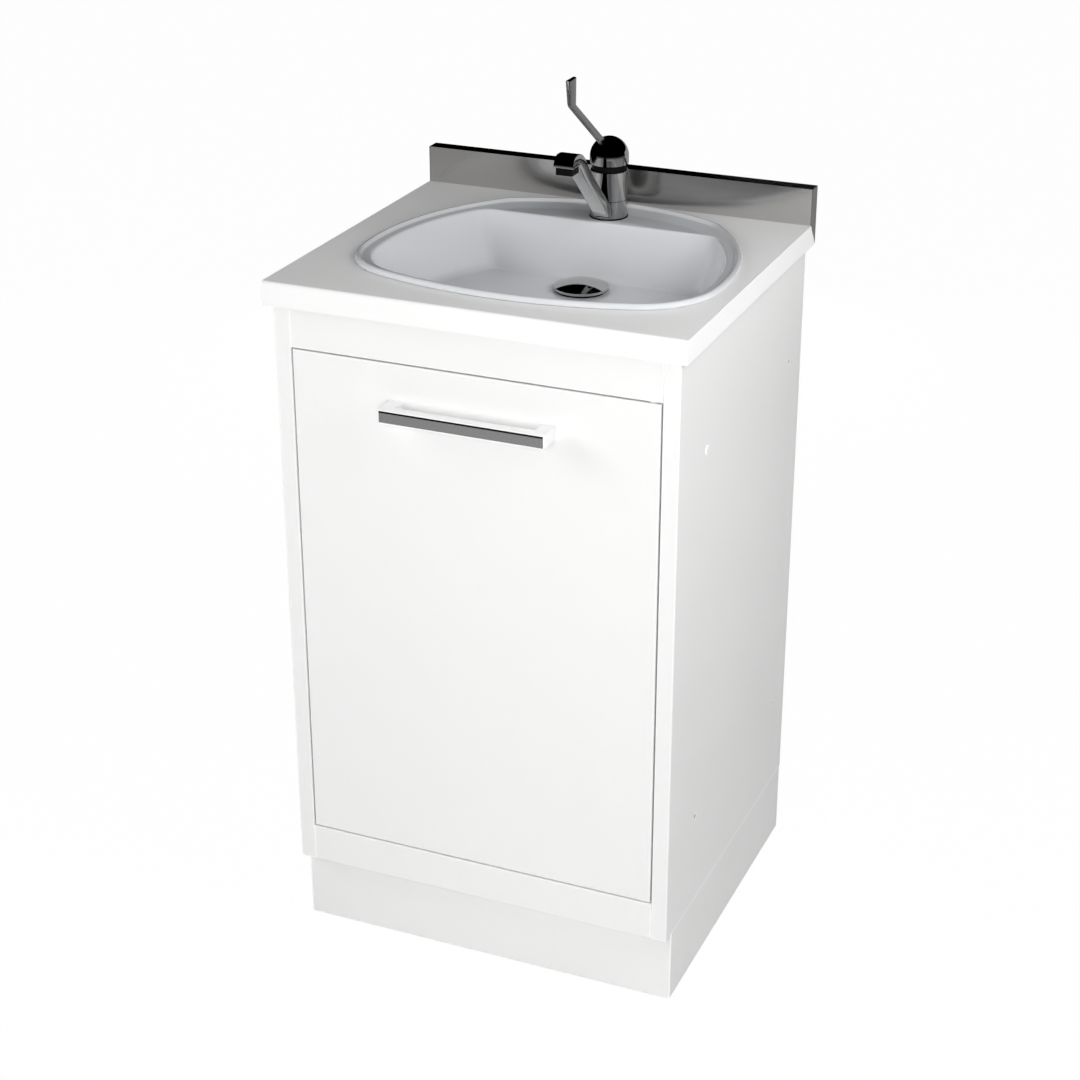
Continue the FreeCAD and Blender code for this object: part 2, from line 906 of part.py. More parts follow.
def trap_body():
    outer = disc(trap_radius, basin_x, waste_y, trap_joint_z, trap_shoulder_z)
    middle = (trap_joint_z + trap_shoulder_z) / 2
    outer = rounded(outer, trap_radius - trap_neck_radius, lambda b: b.ZMin > middle)
    outer = outer.fuse(disc(trap_neck_radius, basin_x, waste_y, trap_shoulder_z - trap_wall, tail_bottom))
    wall = waste_y + trap_radius
    spigot_end = wall + outlet_collar_length
    outer = outer.fuse(rod_y(outlet_collar_radius, basin_x, waste_y, spigot_end, outlet_z))
    inner = trap_radius - trap_wall
    roof = trap_shoulder_z - trap_wall
    hollow = disc(inner, basin_x, waste_y, trap_joint_z - overrun, roof)
    hollow = rounded(hollow, trap_radius - trap_neck_radius, lambda b: b.ZMin > middle)
    body = outer.cut(hollow)
    body = body.cut(rod_y(outlet_radius - outlet_wall, basin_x, waste_y, spigot_end + overrun, outlet_z))
    dip = disc(tail_radius, basin_x, waste_y, trap_joint_z, tail_bottom)
    body = body.fuse(dip)
    bore = disc(tail_radius - tail_wall, basin_x, waste_y, trap_joint_z - overrun, tail_bottom + overrun)
    return body.cut(bore).removeSplitter()


def trap_cup():
    lip = trap_radius + trap_cup_lip
    outer = disc(trap_radius, basin_x, waste_y, trap_bottom_z, trap_joint_z)
    outer = rounded(outer, trap_cup_radius, lambda b: b.ZMax < trap_bottom_z + trap_wall)
    band = disc(lip, basin_x, waste_y, trap_joint_z - trap_cup_lip_height, trap_joint_z)
    floor = trap_bottom_z + trap_wall
    hollow = disc(trap_radius - trap_wall, basin_x, waste_y, floor, trap_joint_z + overrun)
    hollow = rounded(hollow, trap_cup_radius - trap_wall, lambda b: b.ZMax < floor + trap_wall)
    return outer.fuse(band).cut(hollow).removeSplitter()


def outlet_start():
    return waste_y + trap_radius + outlet_collar_length


def trap_outlet_nut():
    start = outlet_start()
    return tube_y(outlet_nut_radius, outlet_radius - outlet_rebate + pipe_gap, basin_x, start,
                  start + outlet_nut_length, outlet_z)


def outlet_pipe():
    # The end inside the nut is turned down; the rest is free for the wall's socket.
    start = outlet_start()
    step = start + outlet_nut_length
    pipe = rod_y(outlet_radius, basin_x, step, worktop_back, outlet_z)
    pipe = pipe.fuse(rod_y(outlet_radius - outlet_rebate, basin_x, start, step, outlet_z))
    bore = rod_y(outlet_radius - outlet_wall, basin_x, start - overrun, worktop_back + overrun, outlet_z)
    return pipe.cut(bore).removeSplitter()


# Tap

def up(height):
    return worktop_top + height


def tap_disc(radius, z0, z1):
    return disc(radius, basin_x, tap_y, z0, z1)


def tap_base_ring():
    ring = tap_disc(tap_base_radius, ledge_top, spout_base)
    return ring.cut(tap_disc(core_radius + core_running_gap, ledge_top - overrun, spout_base + overrun))


def tap_body():
    shoulder = up(collar_top)
    rim = up(body_rim)
    body = tap_disc(tap_radius, shoulder, rim)
    body = rounded(body, tap_edge_radius, lambda b: b.ZMin > (shoulder + rim) / 2)
    body = body.fuse(tap_disc(core_radius, ledge_top, shoulder))
    body = body.fuse(tap_disc(shank_radius, ledge_top - shank_length, ledge_top))
    chamber = tap_disc(cartridge_radius + cartridge_gap, up(cartridge_bottom), rim + overrun)
    return body.cut(chamber).removeSplitter()


def tap_cartridge():
    return tap_disc(cartridge_radius, up(cartridge_bottom), up(carrier_bottom))


def tap_neck():
    ring = tap_disc(neck_radius, up(body_rim), up(neck_top))
    return ring.cut(tap_disc(neck_radius - neck_wall, up(body_rim) - overrun, up(neck_top) + overrun))


def tap_washer():
    high = ledge_top - ledge_thickness
    return tube(tap_nut_radius, shank_radius + pipe_gap, basin_x, tap_y, high - tap_washer_height, high)


def tap_nut():
    high = ledge_top - ledge_thickness - tap_washer_height
    nut = hexagon(2 * tap_nut_radius * math.cos(math.pi / 6), basin_x, tap_y, high - tap_nut_height, high)
    return nut.cut(disc(shank_radius + pipe_gap, basin_x, tap_y, high - tap_nut_height - overrun,
                        high + overrun))


def forward(outline):
    # Side outlines of the tap are given forward of its axis and above the worktop.
    return [(tap_y - out, up(rise)) for out, rise in outline]


def spout():
    low = spout_base
    high = up(collar_top) - collar_gap
    collar = tap_disc(tap_radius, low, high)
    arm_outline = [(0, arm_root_low), (tap_radius, arm_root_low), (head_under_forward, head_bottom),
                   (head_reach - head_nose_radius, head_bottom), (head_reach - head_nose_radius, head_top),
                   (head_bend_forward, head_top), (arm_knee_forward, arm_knee_up),
                   (tap_radius, arm_root_bend), (0, arm_root_high)]
    arm = side_prism(forward(arm_outline), basin_x - arm_width / 2, basin_x + arm_width / 2)
    knee = tap_y - arm_knee_forward + arm_edge_radius
    nose = tap_y - head_reach + head_nose_radius
    arm = rounded(arm, arm_knee_radius, lambda b: runs_across(b) and b.YMax < knee and b.YMin > nose
                  and b.ZMin > up(arm_knee_up) - arm_edge_radius)
    front = tap_y - tap_radius - arm_edge_radius
    arm = rounded(arm, arm_edge_radius,
                  lambda b: not runs_across(b) and b.YMin < front and b.YLength > head_nose_radius)
    head_outline = [(head_side_forward, head_bottom), (head_reach, head_bottom), (head_reach, head_top),
                    (head_side_forward, head_top)]
    half = head_width / 2
    head = side_prism(forward(head_outline), basin_x - half, basin_x + half)
    middle = up((head_bottom + head_top) / 2)
    head = rounded(head, head_nose_radius, lambda b: b.YMax < nose and b.ZMin > middle)
    lowest = up((head_bottom + head_top - head_nose_radius) / 2)
    head = rounded(head, head_edge_radius, lambda b: not runs_across(b) and b.ZMin > lowest)
    outlet_front = tap_y - head_reach + (head_width - outlet_width) / 2
    outlet = box(basin_x - outlet_width / 2, basin_x + outlet_width / 2, outlet_front,
                 outlet_front + outlet_length, up(outlet_bottom), up(head_bottom))
    outlet = rounded(outlet, outlet_corner_radius, runs_up)
    body = collar.fuse(arm).fuse(head).fuse(outlet)
    bore = disc(aerator_radius + aerator_gap, basin_x, outlet_front + outlet_length / 2,
                up(outlet_bottom) - overrun, up(outlet_bottom) + aerator_recess + aerator_height)
    core = tap_disc(core_radius + core_running_gap, low - overrun, high + overrun)
    cut_above = tap_disc(tap_radius + collar_gap, high, up(body_rim))
    return body.cut(bore).cut(core).cut(cut_above).removeSplitter()


def aerator():
    low = up(outlet_bottom) + aerator_recess
    middle = tap_y - head_reach + (head_width - outlet_width) / 2 + outlet_length / 2
    return disc(aerator_radius, basin_x, middle, low, low + aerator_height)


# Mixer lever: a carrier that turns, and a cap with its stem and blade that tilts in it

def carrier():
    base = tap_disc(carrier_radius, up(carrier_bottom), up(carrier_top))
    body = base
    for side in (-1, 1):
        inner = basin_x + side * carrier_slot / 2
        outer = inner + side * carrier_ear_width
        ear = box(min(inner, outer), max(inner, outer), tap_y - carrier_ear_width, tap_y + carrier_ear_width,
                  up(carrier_top), up(carrier_ear_top))
        body = body.fuse(ear)
    hole = rod_x(tilt_pin_radius + tilt_pin_gap, basin_x - carrier_radius, basin_x + carrier_radius, tap_y,
                 up(tilt_height))
    return body.cut(hole).removeSplitter()


def tilt_pin():
    half = carrier_slot / 2 + carrier_ear_width
    return rod_x(tilt_pin_radius, basin_x - half, basin_x + half, tap_y, up(tilt_height))


def lever_outline():
    return forward([(lever_root_forward, lever_root_low), (lever_elbow_low_forward, lever_elbow_low_up),
                    (lever_tip_forward, lever_tip_up), (lever_tip_rear_forward, lever_tip_up),
                    (lever_elbow_high_forward, lever_elbow_high_up), (lever_root_forward, lever_root_high)])


def lever_arm():
    blade = side_prism(lever_outline(), basin_x - lever_thickness / 2, basin_x + lever_thickness / 2)
    tip = tap_y - lever_root_forward - lever_thickness
    return rounded(blade, lever_edge_radius, lambda b: not runs_across(b) and b.YMin < tip)


def lever_cap():
    centre = V(basin_x, tap_y, up(cap_centre))
    inner = cap_radius - cap_wall
    outer = tap_disc(cap_radius, up(cap_bottom), up(cap_centre)).fuse(Part.makeSphere(cap_radius, centre))
    keep = tap_disc(cap_radius + overrun, up(cap_bottom), up(cap_centre) + cap_radius + overrun)
    hollow = tap_disc(inner, up(cap_bottom) - overrun, up(cap_centre)).fuse(Part.makeSphere(inner, centre))
    shell = outer.common(keep).cut(hollow)
    half = stem_width / 2
    stem = box(basin_x - half, basin_x + half, tap_y - half, tap_y + half, up(stem_bottom),
               up(cap_centre) + cap_radius - cap_wall / 2)
    shell = shell.fuse(stem)
    hole = rod_x(tilt_pin_radius + tilt_pin_gap, basin_x - stem_width, basin_x + stem_width, tap_y,
                 up(tilt_height))
    slot = side_prism(lever_outline(), basin_x - lever_thickness / 2, basin_x + lever_thickness / 2)
    return shell.cut(hole).cut(slot).removeSplitter()


makers = [side_panel_left, side_panel_right, hole_plug, top_rail, bottom_rail, rear_brace, floor_panel,
          back_panel, plinth_front, plinth_rear, plinth_side_left, plinth_side_right, door_shell, door_liner,
          pivot_block_upper, pivot_block_lower, pivot_pin_upper, pivot_pin_lower, pivot_bushing_upper,
          pivot_bushing_lower, door_catch, door_strike, handle_body, handle_strip, handle_screws, worktop,
          edge_band_left, edge_band_right, splash_core, splash_cover, splash_cap_left, splash_cap_right,
          basin, basin_seal, waste_flange, waste_gasket, waste_nut, waste_tail, waste_plug, trap_nut,
          trap_body, trap_cup, trap_outlet_nut, outlet_pipe, tap_base_ring, tap_body, tap_cartridge,
          tap_neck, tap_washer, tap_nut, spout, aerator, carrier, tilt_pin, lever_arm, lever_cap]

os.makedirs("parts", exist_ok=True)
for make in makers:
    shape = make()
    shape.exportStep("parts/" + make.__name__ + ".step")
    print(make.__name__, len(shape.Solids), "solids, volume", round(shape.Volume), "valid", shape.isValid())
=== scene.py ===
import json
import math

import bmesh
import bpy
import numpy as np
from bpy.props import FloatProperty, FloatVectorProperty, IntProperty, PointerProperty
from mathutils import Matrix, Vector


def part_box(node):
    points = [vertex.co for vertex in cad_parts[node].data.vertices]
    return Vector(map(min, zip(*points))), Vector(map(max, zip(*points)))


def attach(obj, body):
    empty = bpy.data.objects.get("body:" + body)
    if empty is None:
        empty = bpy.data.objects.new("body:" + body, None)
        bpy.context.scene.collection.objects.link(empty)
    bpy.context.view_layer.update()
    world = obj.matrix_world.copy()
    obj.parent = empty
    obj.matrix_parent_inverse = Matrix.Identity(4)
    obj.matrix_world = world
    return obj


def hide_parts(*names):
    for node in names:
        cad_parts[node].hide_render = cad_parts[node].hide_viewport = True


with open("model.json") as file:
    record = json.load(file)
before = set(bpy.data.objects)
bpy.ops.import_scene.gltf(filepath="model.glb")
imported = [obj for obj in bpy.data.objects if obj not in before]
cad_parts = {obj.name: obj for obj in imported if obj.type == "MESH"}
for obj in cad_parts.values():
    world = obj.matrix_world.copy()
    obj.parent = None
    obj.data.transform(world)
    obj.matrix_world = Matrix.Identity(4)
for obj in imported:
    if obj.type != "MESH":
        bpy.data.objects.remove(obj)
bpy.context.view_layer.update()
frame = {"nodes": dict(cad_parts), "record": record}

bl_info = {
    "name": "Sink cabinet",
    "version": (1, 0, 0),
    "blender": (4, 5, 0),
    "location": "3D View > Sidebar > Sink cabinet",
    "description": "Finishes and detailed pieces of a sink cabinet with a moulded basin and a long-lever tap",
    "category": "Object",
}

MM = 0.001
PARTS = frame["nodes"]


# ---------------------------------------------------------------- sizes and colours

def low(node):
    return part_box(node)[0]


def high(node):
    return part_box(node)[1]


def middle_of(node):
    lowest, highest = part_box(node)
    return (lowest.x + highest.x) / 2, (lowest.y + highest.y) / 2


def length(name, description, default):
    return FloatProperty(name=name, description=description, default=default, unit="LENGTH", precision=5)


def angle(name, description, default):
    return FloatProperty(name=name, description=description, default=math.radians(default), unit="ROTATION")


def colour(name, description, default):
    return FloatVectorProperty(name=name, description=description, default=default, size=4,
                               min=0, max=1, subtype="COLOR")


class BasinSizes(bpy.types.PropertyGroup):
    """The moulded basin's outline and section."""
    front_arc: angle("Front arc", "Turn of the long front arc of the rim, on one half", 18.4)
    front_corner: angle("Front corner", "Turn of the front corner of the rim", 65.2)
    side_arc: angle("Side arc", "Turn of the side arc of the rim", 47.4)
    rear_corner: angle("Rear corner", "Turn of the rear corner of the rim", 21.3)
    front_corner_radius: length("Front corner radius", "Radius of the rim's front corner", 98.8 * MM)
    rear_corner_radius: length("Rear corner radius", "Radius of the rim's rear corner", 60 * MM)
    roll: length("Roll", "Radius of the rim's outer roll", 4.6 * MM)
    bead: length("Bead", "Inset where the bead's inner slope meets the land", 9.6 * MM)
    bead_drop: length("Bead drop", "Height of the bead over the land's outer line", 4.0 * MM)
    land_end: length("Land end", "Inset of the line where the land meets the tap ledge", 32 * MM)
    edge: length("Edge", "Inset of the bowl's edge from the rim's foot", 20 * MM)
    edge_radius: length("Edge radius", "Rounding of the bowl's edge", 3.6 * MM)
    floor_inset: length("Floor inset", "Inset of the bowl's floor line from the rim's foot", 40 * MM)
    depth: length("Depth", "Depth of the bowl's floor under the worktop's top", 68.2 * MM)
    back: length("Back", "Distance from the tap's axis to the bowl's rear edge", 33 * MM)
    back_lean: length("Back lean", "How far the rear wall leans forward at the floor", 17 * MM)
    corner: length("Rear bowl corner", "Radius of the bowl's rear corners at the floor", 16 * MM)
    corner_flare: length("Corner flare", "What the rear corners' radius gains up to the edge", 20 * MM)
    floor_radius: length("Floor radius", "Rounding between the bowl's walls and floor", 14 * MM)
    recess: length("Recess", "Radius of the seat of the waste", 36.6 * MM)
    wall: length("Wall", "Thickness of the bowl's wall", 7 * MM)
    around: IntProperty(name="Around", description="Points round the basin", default=360, min=60)


class TapSizes(bpy.types.PropertyGroup):
    """The spout and the lever, forward of the tap's axis and above the worktop."""
    arm_width: length("Arm width", "Width of the spout's arm", 20 * MM)
    head_width: length("Head width", "Width of the spout's head", 25 * MM)
    root_width: length("Root width", "Width of the arm where it leaves the collar", 21.8 * MM)
    lever_thickness: length("Lever thickness", "Thickness of the lever's blade", 5.2 * MM)
    lever_round: length("Lever rounding", "Rounding of the blade's edges", 1.5 * MM)


class FinishColours(bpy.types.PropertyGroup):
    """Base colours of the finishes."""
    paint: colour("Paint", "White powder coat of the steel sheet", (0.80, 0.80, 0.795, 1))
    plastic: colour("White plastic", "Handle and edging", (0.87, 0.87, 0.87, 1))
    laminate: colour("Laminate", "White worktop", (0.83, 0.83, 0.825, 1))
    glaze: colour("Glaze", "White basin, faintly blue", (0.64, 0.65, 0.67, 1))
    chrome: colour("Chrome", "Tap, plug and waste", (0.55, 0.545, 0.54, 1))
    stainless: colour("Stainless", "Sheet on the upstand", (0.64, 0.63, 0.615, 1))
    strip: colour("Strip", "Metal strip in the handle", (0.50, 0.494, 0.496, 1))
    zinc: colour("Zinc", "Plated pins, screws and hinge blocks", (0.50, 0.51, 0.53, 1))
    brass: colour("Brass", "Nuts and pipes under the basin", (0.62, 0.44, 0.20, 1))
    rubber: colour("Rubber", "Seals and gaskets", (0.008, 0.008, 0.008, 1))
    silicone: colour("Silicone", "Seal under the basin's rim", (0.42, 0.42, 0.41, 1))
    # On the outlet block this black is painted shade.
    black: colour("Black plastic", "Tap's neck ring and outlet, line on the handle", (0.005, 0.005, 0.005, 1))
    nylon: colour("Nylon", "Bushings and catch", (0.66, 0.65, 0.60, 1))
    pipe: colour("Pipe plastic", "Trap and outlet pipe", (0.78, 0.78, 0.76, 1))
    board: colour("Board", "Particle board", (0.52, 0.38, 0.23, 1))


class StageSettings(bpy.types.PropertyGroup):
    """Camera and lamps."""
    eye: FloatVectorProperty(name="Eye", description="Place of the camera", subtype="TRANSLATION",
                             default=(1.002793, -2.377497, 1.698813), unit="LENGTH", precision=6)
    azimuth: angle("Azimuth", "Turn of the view from straight ahead", 23.013)
    elevation: angle("Elevation", "Downward tilt of the view", 24.919)
    roll: angle("Roll", "Roll of the view", -0.0476)
    lens: FloatProperty(name="Lens", description="Focal length for a 36 mm wide picture", default=75.366)
    front: FloatProperty(name="Front", description="Power of the low lamp in front, in watts", default=26.8)
    right: FloatProperty(name="Right", description="Power of the near lamp at the right, in watts",
                         default=8.6)
    right_far: FloatProperty(name="Right far", description="Power of the far lamp at the right, in watts",
                             default=6.7)
    left: FloatProperty(name="Left", description="Power of the lamp at the front left, in watts", default=17)
    rear: FloatProperty(name="Rear", description="Power of the low lamp behind, in watts", default=20)
    side: FloatProperty(name="Side", description="Power of the low lamp beside, in watts", default=3)
    sky: FloatProperty(name="Sky", description="Even light from all round", default=0.05)


# ---------------------------------------------------------------- finishes

class Signal:
    """A socket in a mixture; sums, differences and products of signals add Math nodes."""

    def __init__(self, mixture, socket):
        self.mixture = mixture
        self.socket = socket

    def maths(self, operation, first, second):
        return self.mixture.node("ShaderNodeMath", {"operation": operation}, {0: first, 1: second})

    def __add__(self, other):
        return self.maths("ADD", self, other)

    __radd__ = __add__

    def __sub__(self, other):
        return self.maths("SUBTRACT", self, other)

    def __rsub__(self, other):
        return self.maths("SUBTRACT", other, self)

    def __mul__(self, other):
        return self.maths("MULTIPLY", self, other)

    __rmul__ = __mul__


class Mixture:
    """Shader nodes being mixed for a surface or for the world; one method makes every node."""

    def __init__(self, tree, output):
        self.tree = tree
        tree.nodes.clear()
        self.surface = tree.nodes.new(output).inputs["Surface"]

    def node(self, kind, settings, sockets, output=0):
        made = self.tree.nodes.new(kind)
        for name, value in settings.items():
            setattr(made, name, value)
        for name, value in sockets.items():
            self.feed(made.inputs[name], value)
        return Signal(self, made.outputs[output])

    def feed(self, socket, value):
        if isinstance(value, Signal):
            self.tree.links.new(value.socket, socket)
        else:
            socket.default_value = value

    def onlookers(self):
        # One for what the camera, a reflection or clear matter shows, and zero for the light on the object.
        seen, mirrored, through = (self.node("ShaderNodeLightPath", {}, {}, "Is " + kind + " Ray")
                                   for kind in ("Camera", "Glossy", "Transmission"))
        return seen + mirrored + through

    def show(self, factor, under, over):
        self.feed(self.surface, self.node("ShaderNodeMixShader", {}, {0: factor, 1: under, 2: over}))


class Finish(Mixture):
    """A material being mixed: its shader, and the place on the piece that it follows."""

    def __init__(self, name, **settings):
        self.material = bpy.data.materials.new(name)
        self.material.use_nodes = True
        super().__init__(self.material.node_tree, "ShaderNodeOutputMaterial")
        self.shader = self.node("ShaderNodeBsdfPrincipled", {}, {})
        self.feed(self.surface, self.shader)
        self.place = self.node("ShaderNodeTexCoord", {}, {}, "Object")
        self.set(**settings)

    def set(self, **values):
        sockets = self.shader.socket.node.inputs
        for name, value in values.items():
            self.feed(sockets[name.replace("_", " ").title().replace("Ior", "IOR")], value)

    def scaled(self, x, y, z):
        return self.node("ShaderNodeVectorMath", {"operation": "MULTIPLY"}, {0: self.place, 1: (x, y, z)})

    def noise(self, scale, detail=3.0, roughness=0.5, place=None):
        return self.node("ShaderNodeTexNoise", {}, {"Vector": place or self.place, "Scale": scale,
                                                    "Detail": detail, "Roughness": roughness}, "Fac")

    def cells(self, scale, place=None, output="Distance", feature="F1"):
        return self.node("ShaderNodeTexVoronoi", {"feature": feature},
                         {"Vector": place or self.place, "Scale": scale}, output)

    def spread(self, signal, low_in, high_in, low_out, high_out):
        return self.node("ShaderNodeMapRange", {}, {"Value": signal, "From Min": low_in, "From Max": high_in,
                                                    "To Min": low_out, "To Max": high_out})

    def mix(self, factor, first, second):
        return self.node("ShaderNodeMix", {"data_type": "RGBA"}, {0: factor, 6: first, 7: second}, 2)

    def edges(self, radius):
        # One along the edges of a sheet, and zero a radius away: there the rounded direction of the face
        # parts from its flat one. It masks the painted highlight along the edges.
        bent = self.node("ShaderNodeBevel", {"samples": 6}, {"Radius": radius})
        flat = self.node("ShaderNodeNewGeometry", {}, {}, "Normal")
        alike = self.node("ShaderNodeVectorMath", {"operation": "DOT_PRODUCT"}, {0: bent, 1: flat}, "Value")
        return self.spread(alike, 0.75, 0.99, 1.0, 0.0)

    def relief(self, height, depth, strength=1.0, rounding=0.0):
        # A bump, on edges that look rounded by the given radius.
        sockets = {"Height": height, "Distance": depth, "Strength": strength}
        if rounding:
            sockets["Normal"] = self.node("ShaderNodeBevel", {"samples": 6}, {"Radius": rounding})
        return self.node("ShaderNodeBump", {}, sockets)


WHITE = (1, 1, 1, 1)
DARK = (0, 0, 0, 1)


def shade(value, factor):
    return tuple(c * factor for c in value[:3]) + (1,)


def powder_coat(name, tone, roughness=0.42):
    # Fine orange peel with a slow drift of tone. Along a sheet's edges a painted highlight: whiter colour and
    # a faint glow.
    f = Finish(name, specular_ior_level=0.42)
    drift = f.noise(3.1, 2.0)
    grain = f.noise(900.0, 2.0, 0.6)
    peel = f.noise(420.0, 2.0, 0.45)
    # Mask of the painted highlight along the sheet's edges.
    rim = f.edges(2.8 * MM)
    flat = f.mix(drift * 0.7 + grain * 0.3, shade(tone, 0.975), shade(tone, 1.015))
    # Painted highlight: the edges are whitened and given a faint glow.
    f.set(base_color=f.mix(rim, flat, WHITE), emission_color=f.mix(rim, DARK, shade(WHITE, 0.22)),
          emission_strength=1.0,
          roughness=f.spread(f.noise(14.0, 4.0, 0.6), 0.3, 0.7, roughness - 0.05, roughness + 0.06),
          normal=f.relief(peel, 0.12 * MM, 0.35, 1.1 * MM))
    return f.material


def moulded_plastic(name, tone, roughness=0.3, texture=90.0):
    # Faint flow lines of the mould and a soft, shallow texture.
    f = Finish(name)
    flow = f.noise(22.0, 3.0, 0.55, f.scaled(0.4, 1.0, 1.0))
    f.set(base_color=f.mix(flow, shade(tone, 0.985), shade(tone, 1.01)),
          roughness=f.spread(f.noise(16.0, 2.0), 0.2, 0.8, roughness - 0.02, roughness + 0.02),
          normal=f.relief(f.noise(texture, 2.0, 0.5), 0.03 * MM, 0.15, 0.7 * MM))
    return f.material


def pressed_laminate(name, tone):
    # The pearl texture of a press plate, and a very faint cloudiness of the paper under it.
    f = Finish(name, specular_ior_level=0.4)
    pearl = f.cells(620.0, feature="SMOOTH_F1")
    cloud = f.noise(9.0, 4.0, 0.55)
    speck = f.noise(1300.0, 1.0)
    f.set(base_color=f.mix(cloud * 0.6 + speck * 0.4, shade(tone, 0.97), shade(tone, 1.02)),
          roughness=f.spread(cloud, 0.35, 0.65, 0.40, 0.50),
          normal=f.relief(pearl + f.noise(1500.0, 2.0) * 0.4, 0.1 * MM, 0.35))
    return f.material


def white_glaze(name, tone):
    # Glaze is glossy, with slow waves from firing and the odd pinhole.
    f = Finish(name, coat_weight=0.6, coat_roughness=0.05, specular_ior_level=0.5)
    wave = f.noise(26.0, 2.0, 0.4)
    pinholes = f.spread(f.cells(240.0), 0.02, 0.05, 0.0, 1.0)
    f.set(base_color=f.mix(f.noise(7.0, 3.0), shade(tone, 0.985), shade(tone, 1.01)),
          roughness=f.spread(f.noise(40.0, 4.0, 0.6), 0.3, 0.7, 0.14, 0.24),
          normal=f.relief(wave + pinholes * 0.03, 0.6 * MM, 0.22))
    return f.material


def polished_plate(name, tone, roughness=0.07, dent=0.05):
    # Plated metal with wiping marks that only show in the reflections.
    f = Finish(name, metallic=1.0)
    smear = f.noise(55.0, 5.0, 0.65, f.scaled(1.0, 1.0, 0.35))
    f.set(base_color=f.mix(f.noise(18.0, 3.0), shade(tone, 0.95), shade(tone, 1.04)),
          roughness=f.spread(smear, 0.35, 0.75, roughness - 0.02, roughness + 0.06),
          normal=f.relief(f.noise(90.0, 2.0), 0.15 * MM, dent))
    return f.material


def brushed_sheet(name, tone, roughness=0.2, along=(2.0, 900.0, 900.0), depth=0.06 * MM):
    # Fine lines drawn along the sheet, with a slow change of polish.
    f = Finish(name, metallic=1.0)
    line = f.noise(1.0, 4.0, 0.7, f.scaled(*along))
    polish = f.noise(5.0, 3.0)
    f.set(base_color=f.mix(line * 0.6 + polish * 0.4, shade(tone, 0.95), shade(tone, 1.04)),
          roughness=f.spread(line * 0.5 + polish * 0.5, 0.3, 0.7, roughness - 0.03, roughness + 0.03),
          normal=f.relief(line, depth, 0.25))
    return f.material


def zinc_plate(name, tone):
    # Small crystal flakes, each of its own shade.
    f = Finish(name, metallic=1.0)
    flake = f.cells(210.0, output="Color")
    f.set(base_color=f.mix(0.12, f.mix(f.noise(30.0, 3.0), shade(tone, 0.9), shade(tone, 1.08)), flake),
          roughness=f.spread(f.noise(120.0, 4.0), 0.3, 0.7, 0.30, 0.46),
          normal=f.relief(f.noise(700.0, 2.0), 0.06 * MM, 0.3))
    return f.material


def turned_brass(name, tone):
    # Lathe rings across the axis, dulled in patches.
    f = Finish(name, metallic=1.0)
    rings = f.noise(1.0, 2.0, 0.5, f.scaled(8.0, 8.0, 2600.0))
    dull = f.noise(38.0, 5.0, 0.65)
    f.set(base_color=f.mix(dull, shade(tone, 1.05), shade(tone, 0.62)),
          roughness=f.spread(dull, 0.35, 0.7, 0.30, 0.50),
          normal=f.relief(rings, 0.08 * MM, 0.3))
    return f.material


def sealing_rubber(name, tone):
    # Dull, with bloom in cloudy patches.
    f = Finish(name, specular_ior_level=0.15)
    f.set(base_color=f.mix(f.noise(45.0, 4.0), shade(tone, 0.7), shade(tone, 1.4)),
          roughness=f.spread(f.noise(160.0, 3.0), 0.3, 0.7, 0.6, 0.85),
          normal=f.relief(f.noise(500.0, 3.0), 0.1 * MM, 0.5))
    return f.material


def particle_board(name, tone):
    # Chips of two sizes pressed together, with darker bark among them.
    f = Finish(name, specular_ior_level=0.2)
    chips = f.cells(260.0, f.scaled(1.0, 1.0, 1.6), "Color")
    bark = f.spread(f.noise(340.0, 3.0), 0.60, 0.70, 0.0, 1.0)
    ground = f.mix(0.35, f.mix(f.noise(150.0, 5.0, 0.7), shade(tone, 0.75), shade(tone, 1.3)), chips)
    f.set(base_color=f.mix(bark * 0.7, f.mix(0.7, ground, tone), shade(tone, 0.35)),
          roughness=0.85, normal=f.relief(f.noise(420.0, 4.0), 0.3 * MM, 0.6))
    return f.material


def black_plastic(name, tone, roughness=0.34):
    # Hard black plastic that mirrors very little.
    f = Finish(name, specular_ior_level=0.04)
    f.set(base_color=f.mix(f.noise(70.0, 3.0), shade(tone, 0.8), shade(tone, 1.5)),
          roughness=f.spread(f.noise(90.0, 3.0), 0.3, 0.7, roughness - 0.03, roughness + 0.06),
          normal=f.relief(f.noise(800.0, 2.0), 0.08 * MM, 0.3))
    return f.material


def strainer_mesh(name, tone):
    # Dark mesh of the aerator: small round openings in a plate.
    f = Finish(name)
    bar = f.spread(f.cells(520.0), 0.35, 0.45, 0.0, 1.0)
    f.set(base_color=f.mix(bar, shade(tone, 0.5), shade(tone, 9.0)), roughness=0.5,
          normal=f.relief(bar, 0.4 * MM, 0.7))
    return f.material


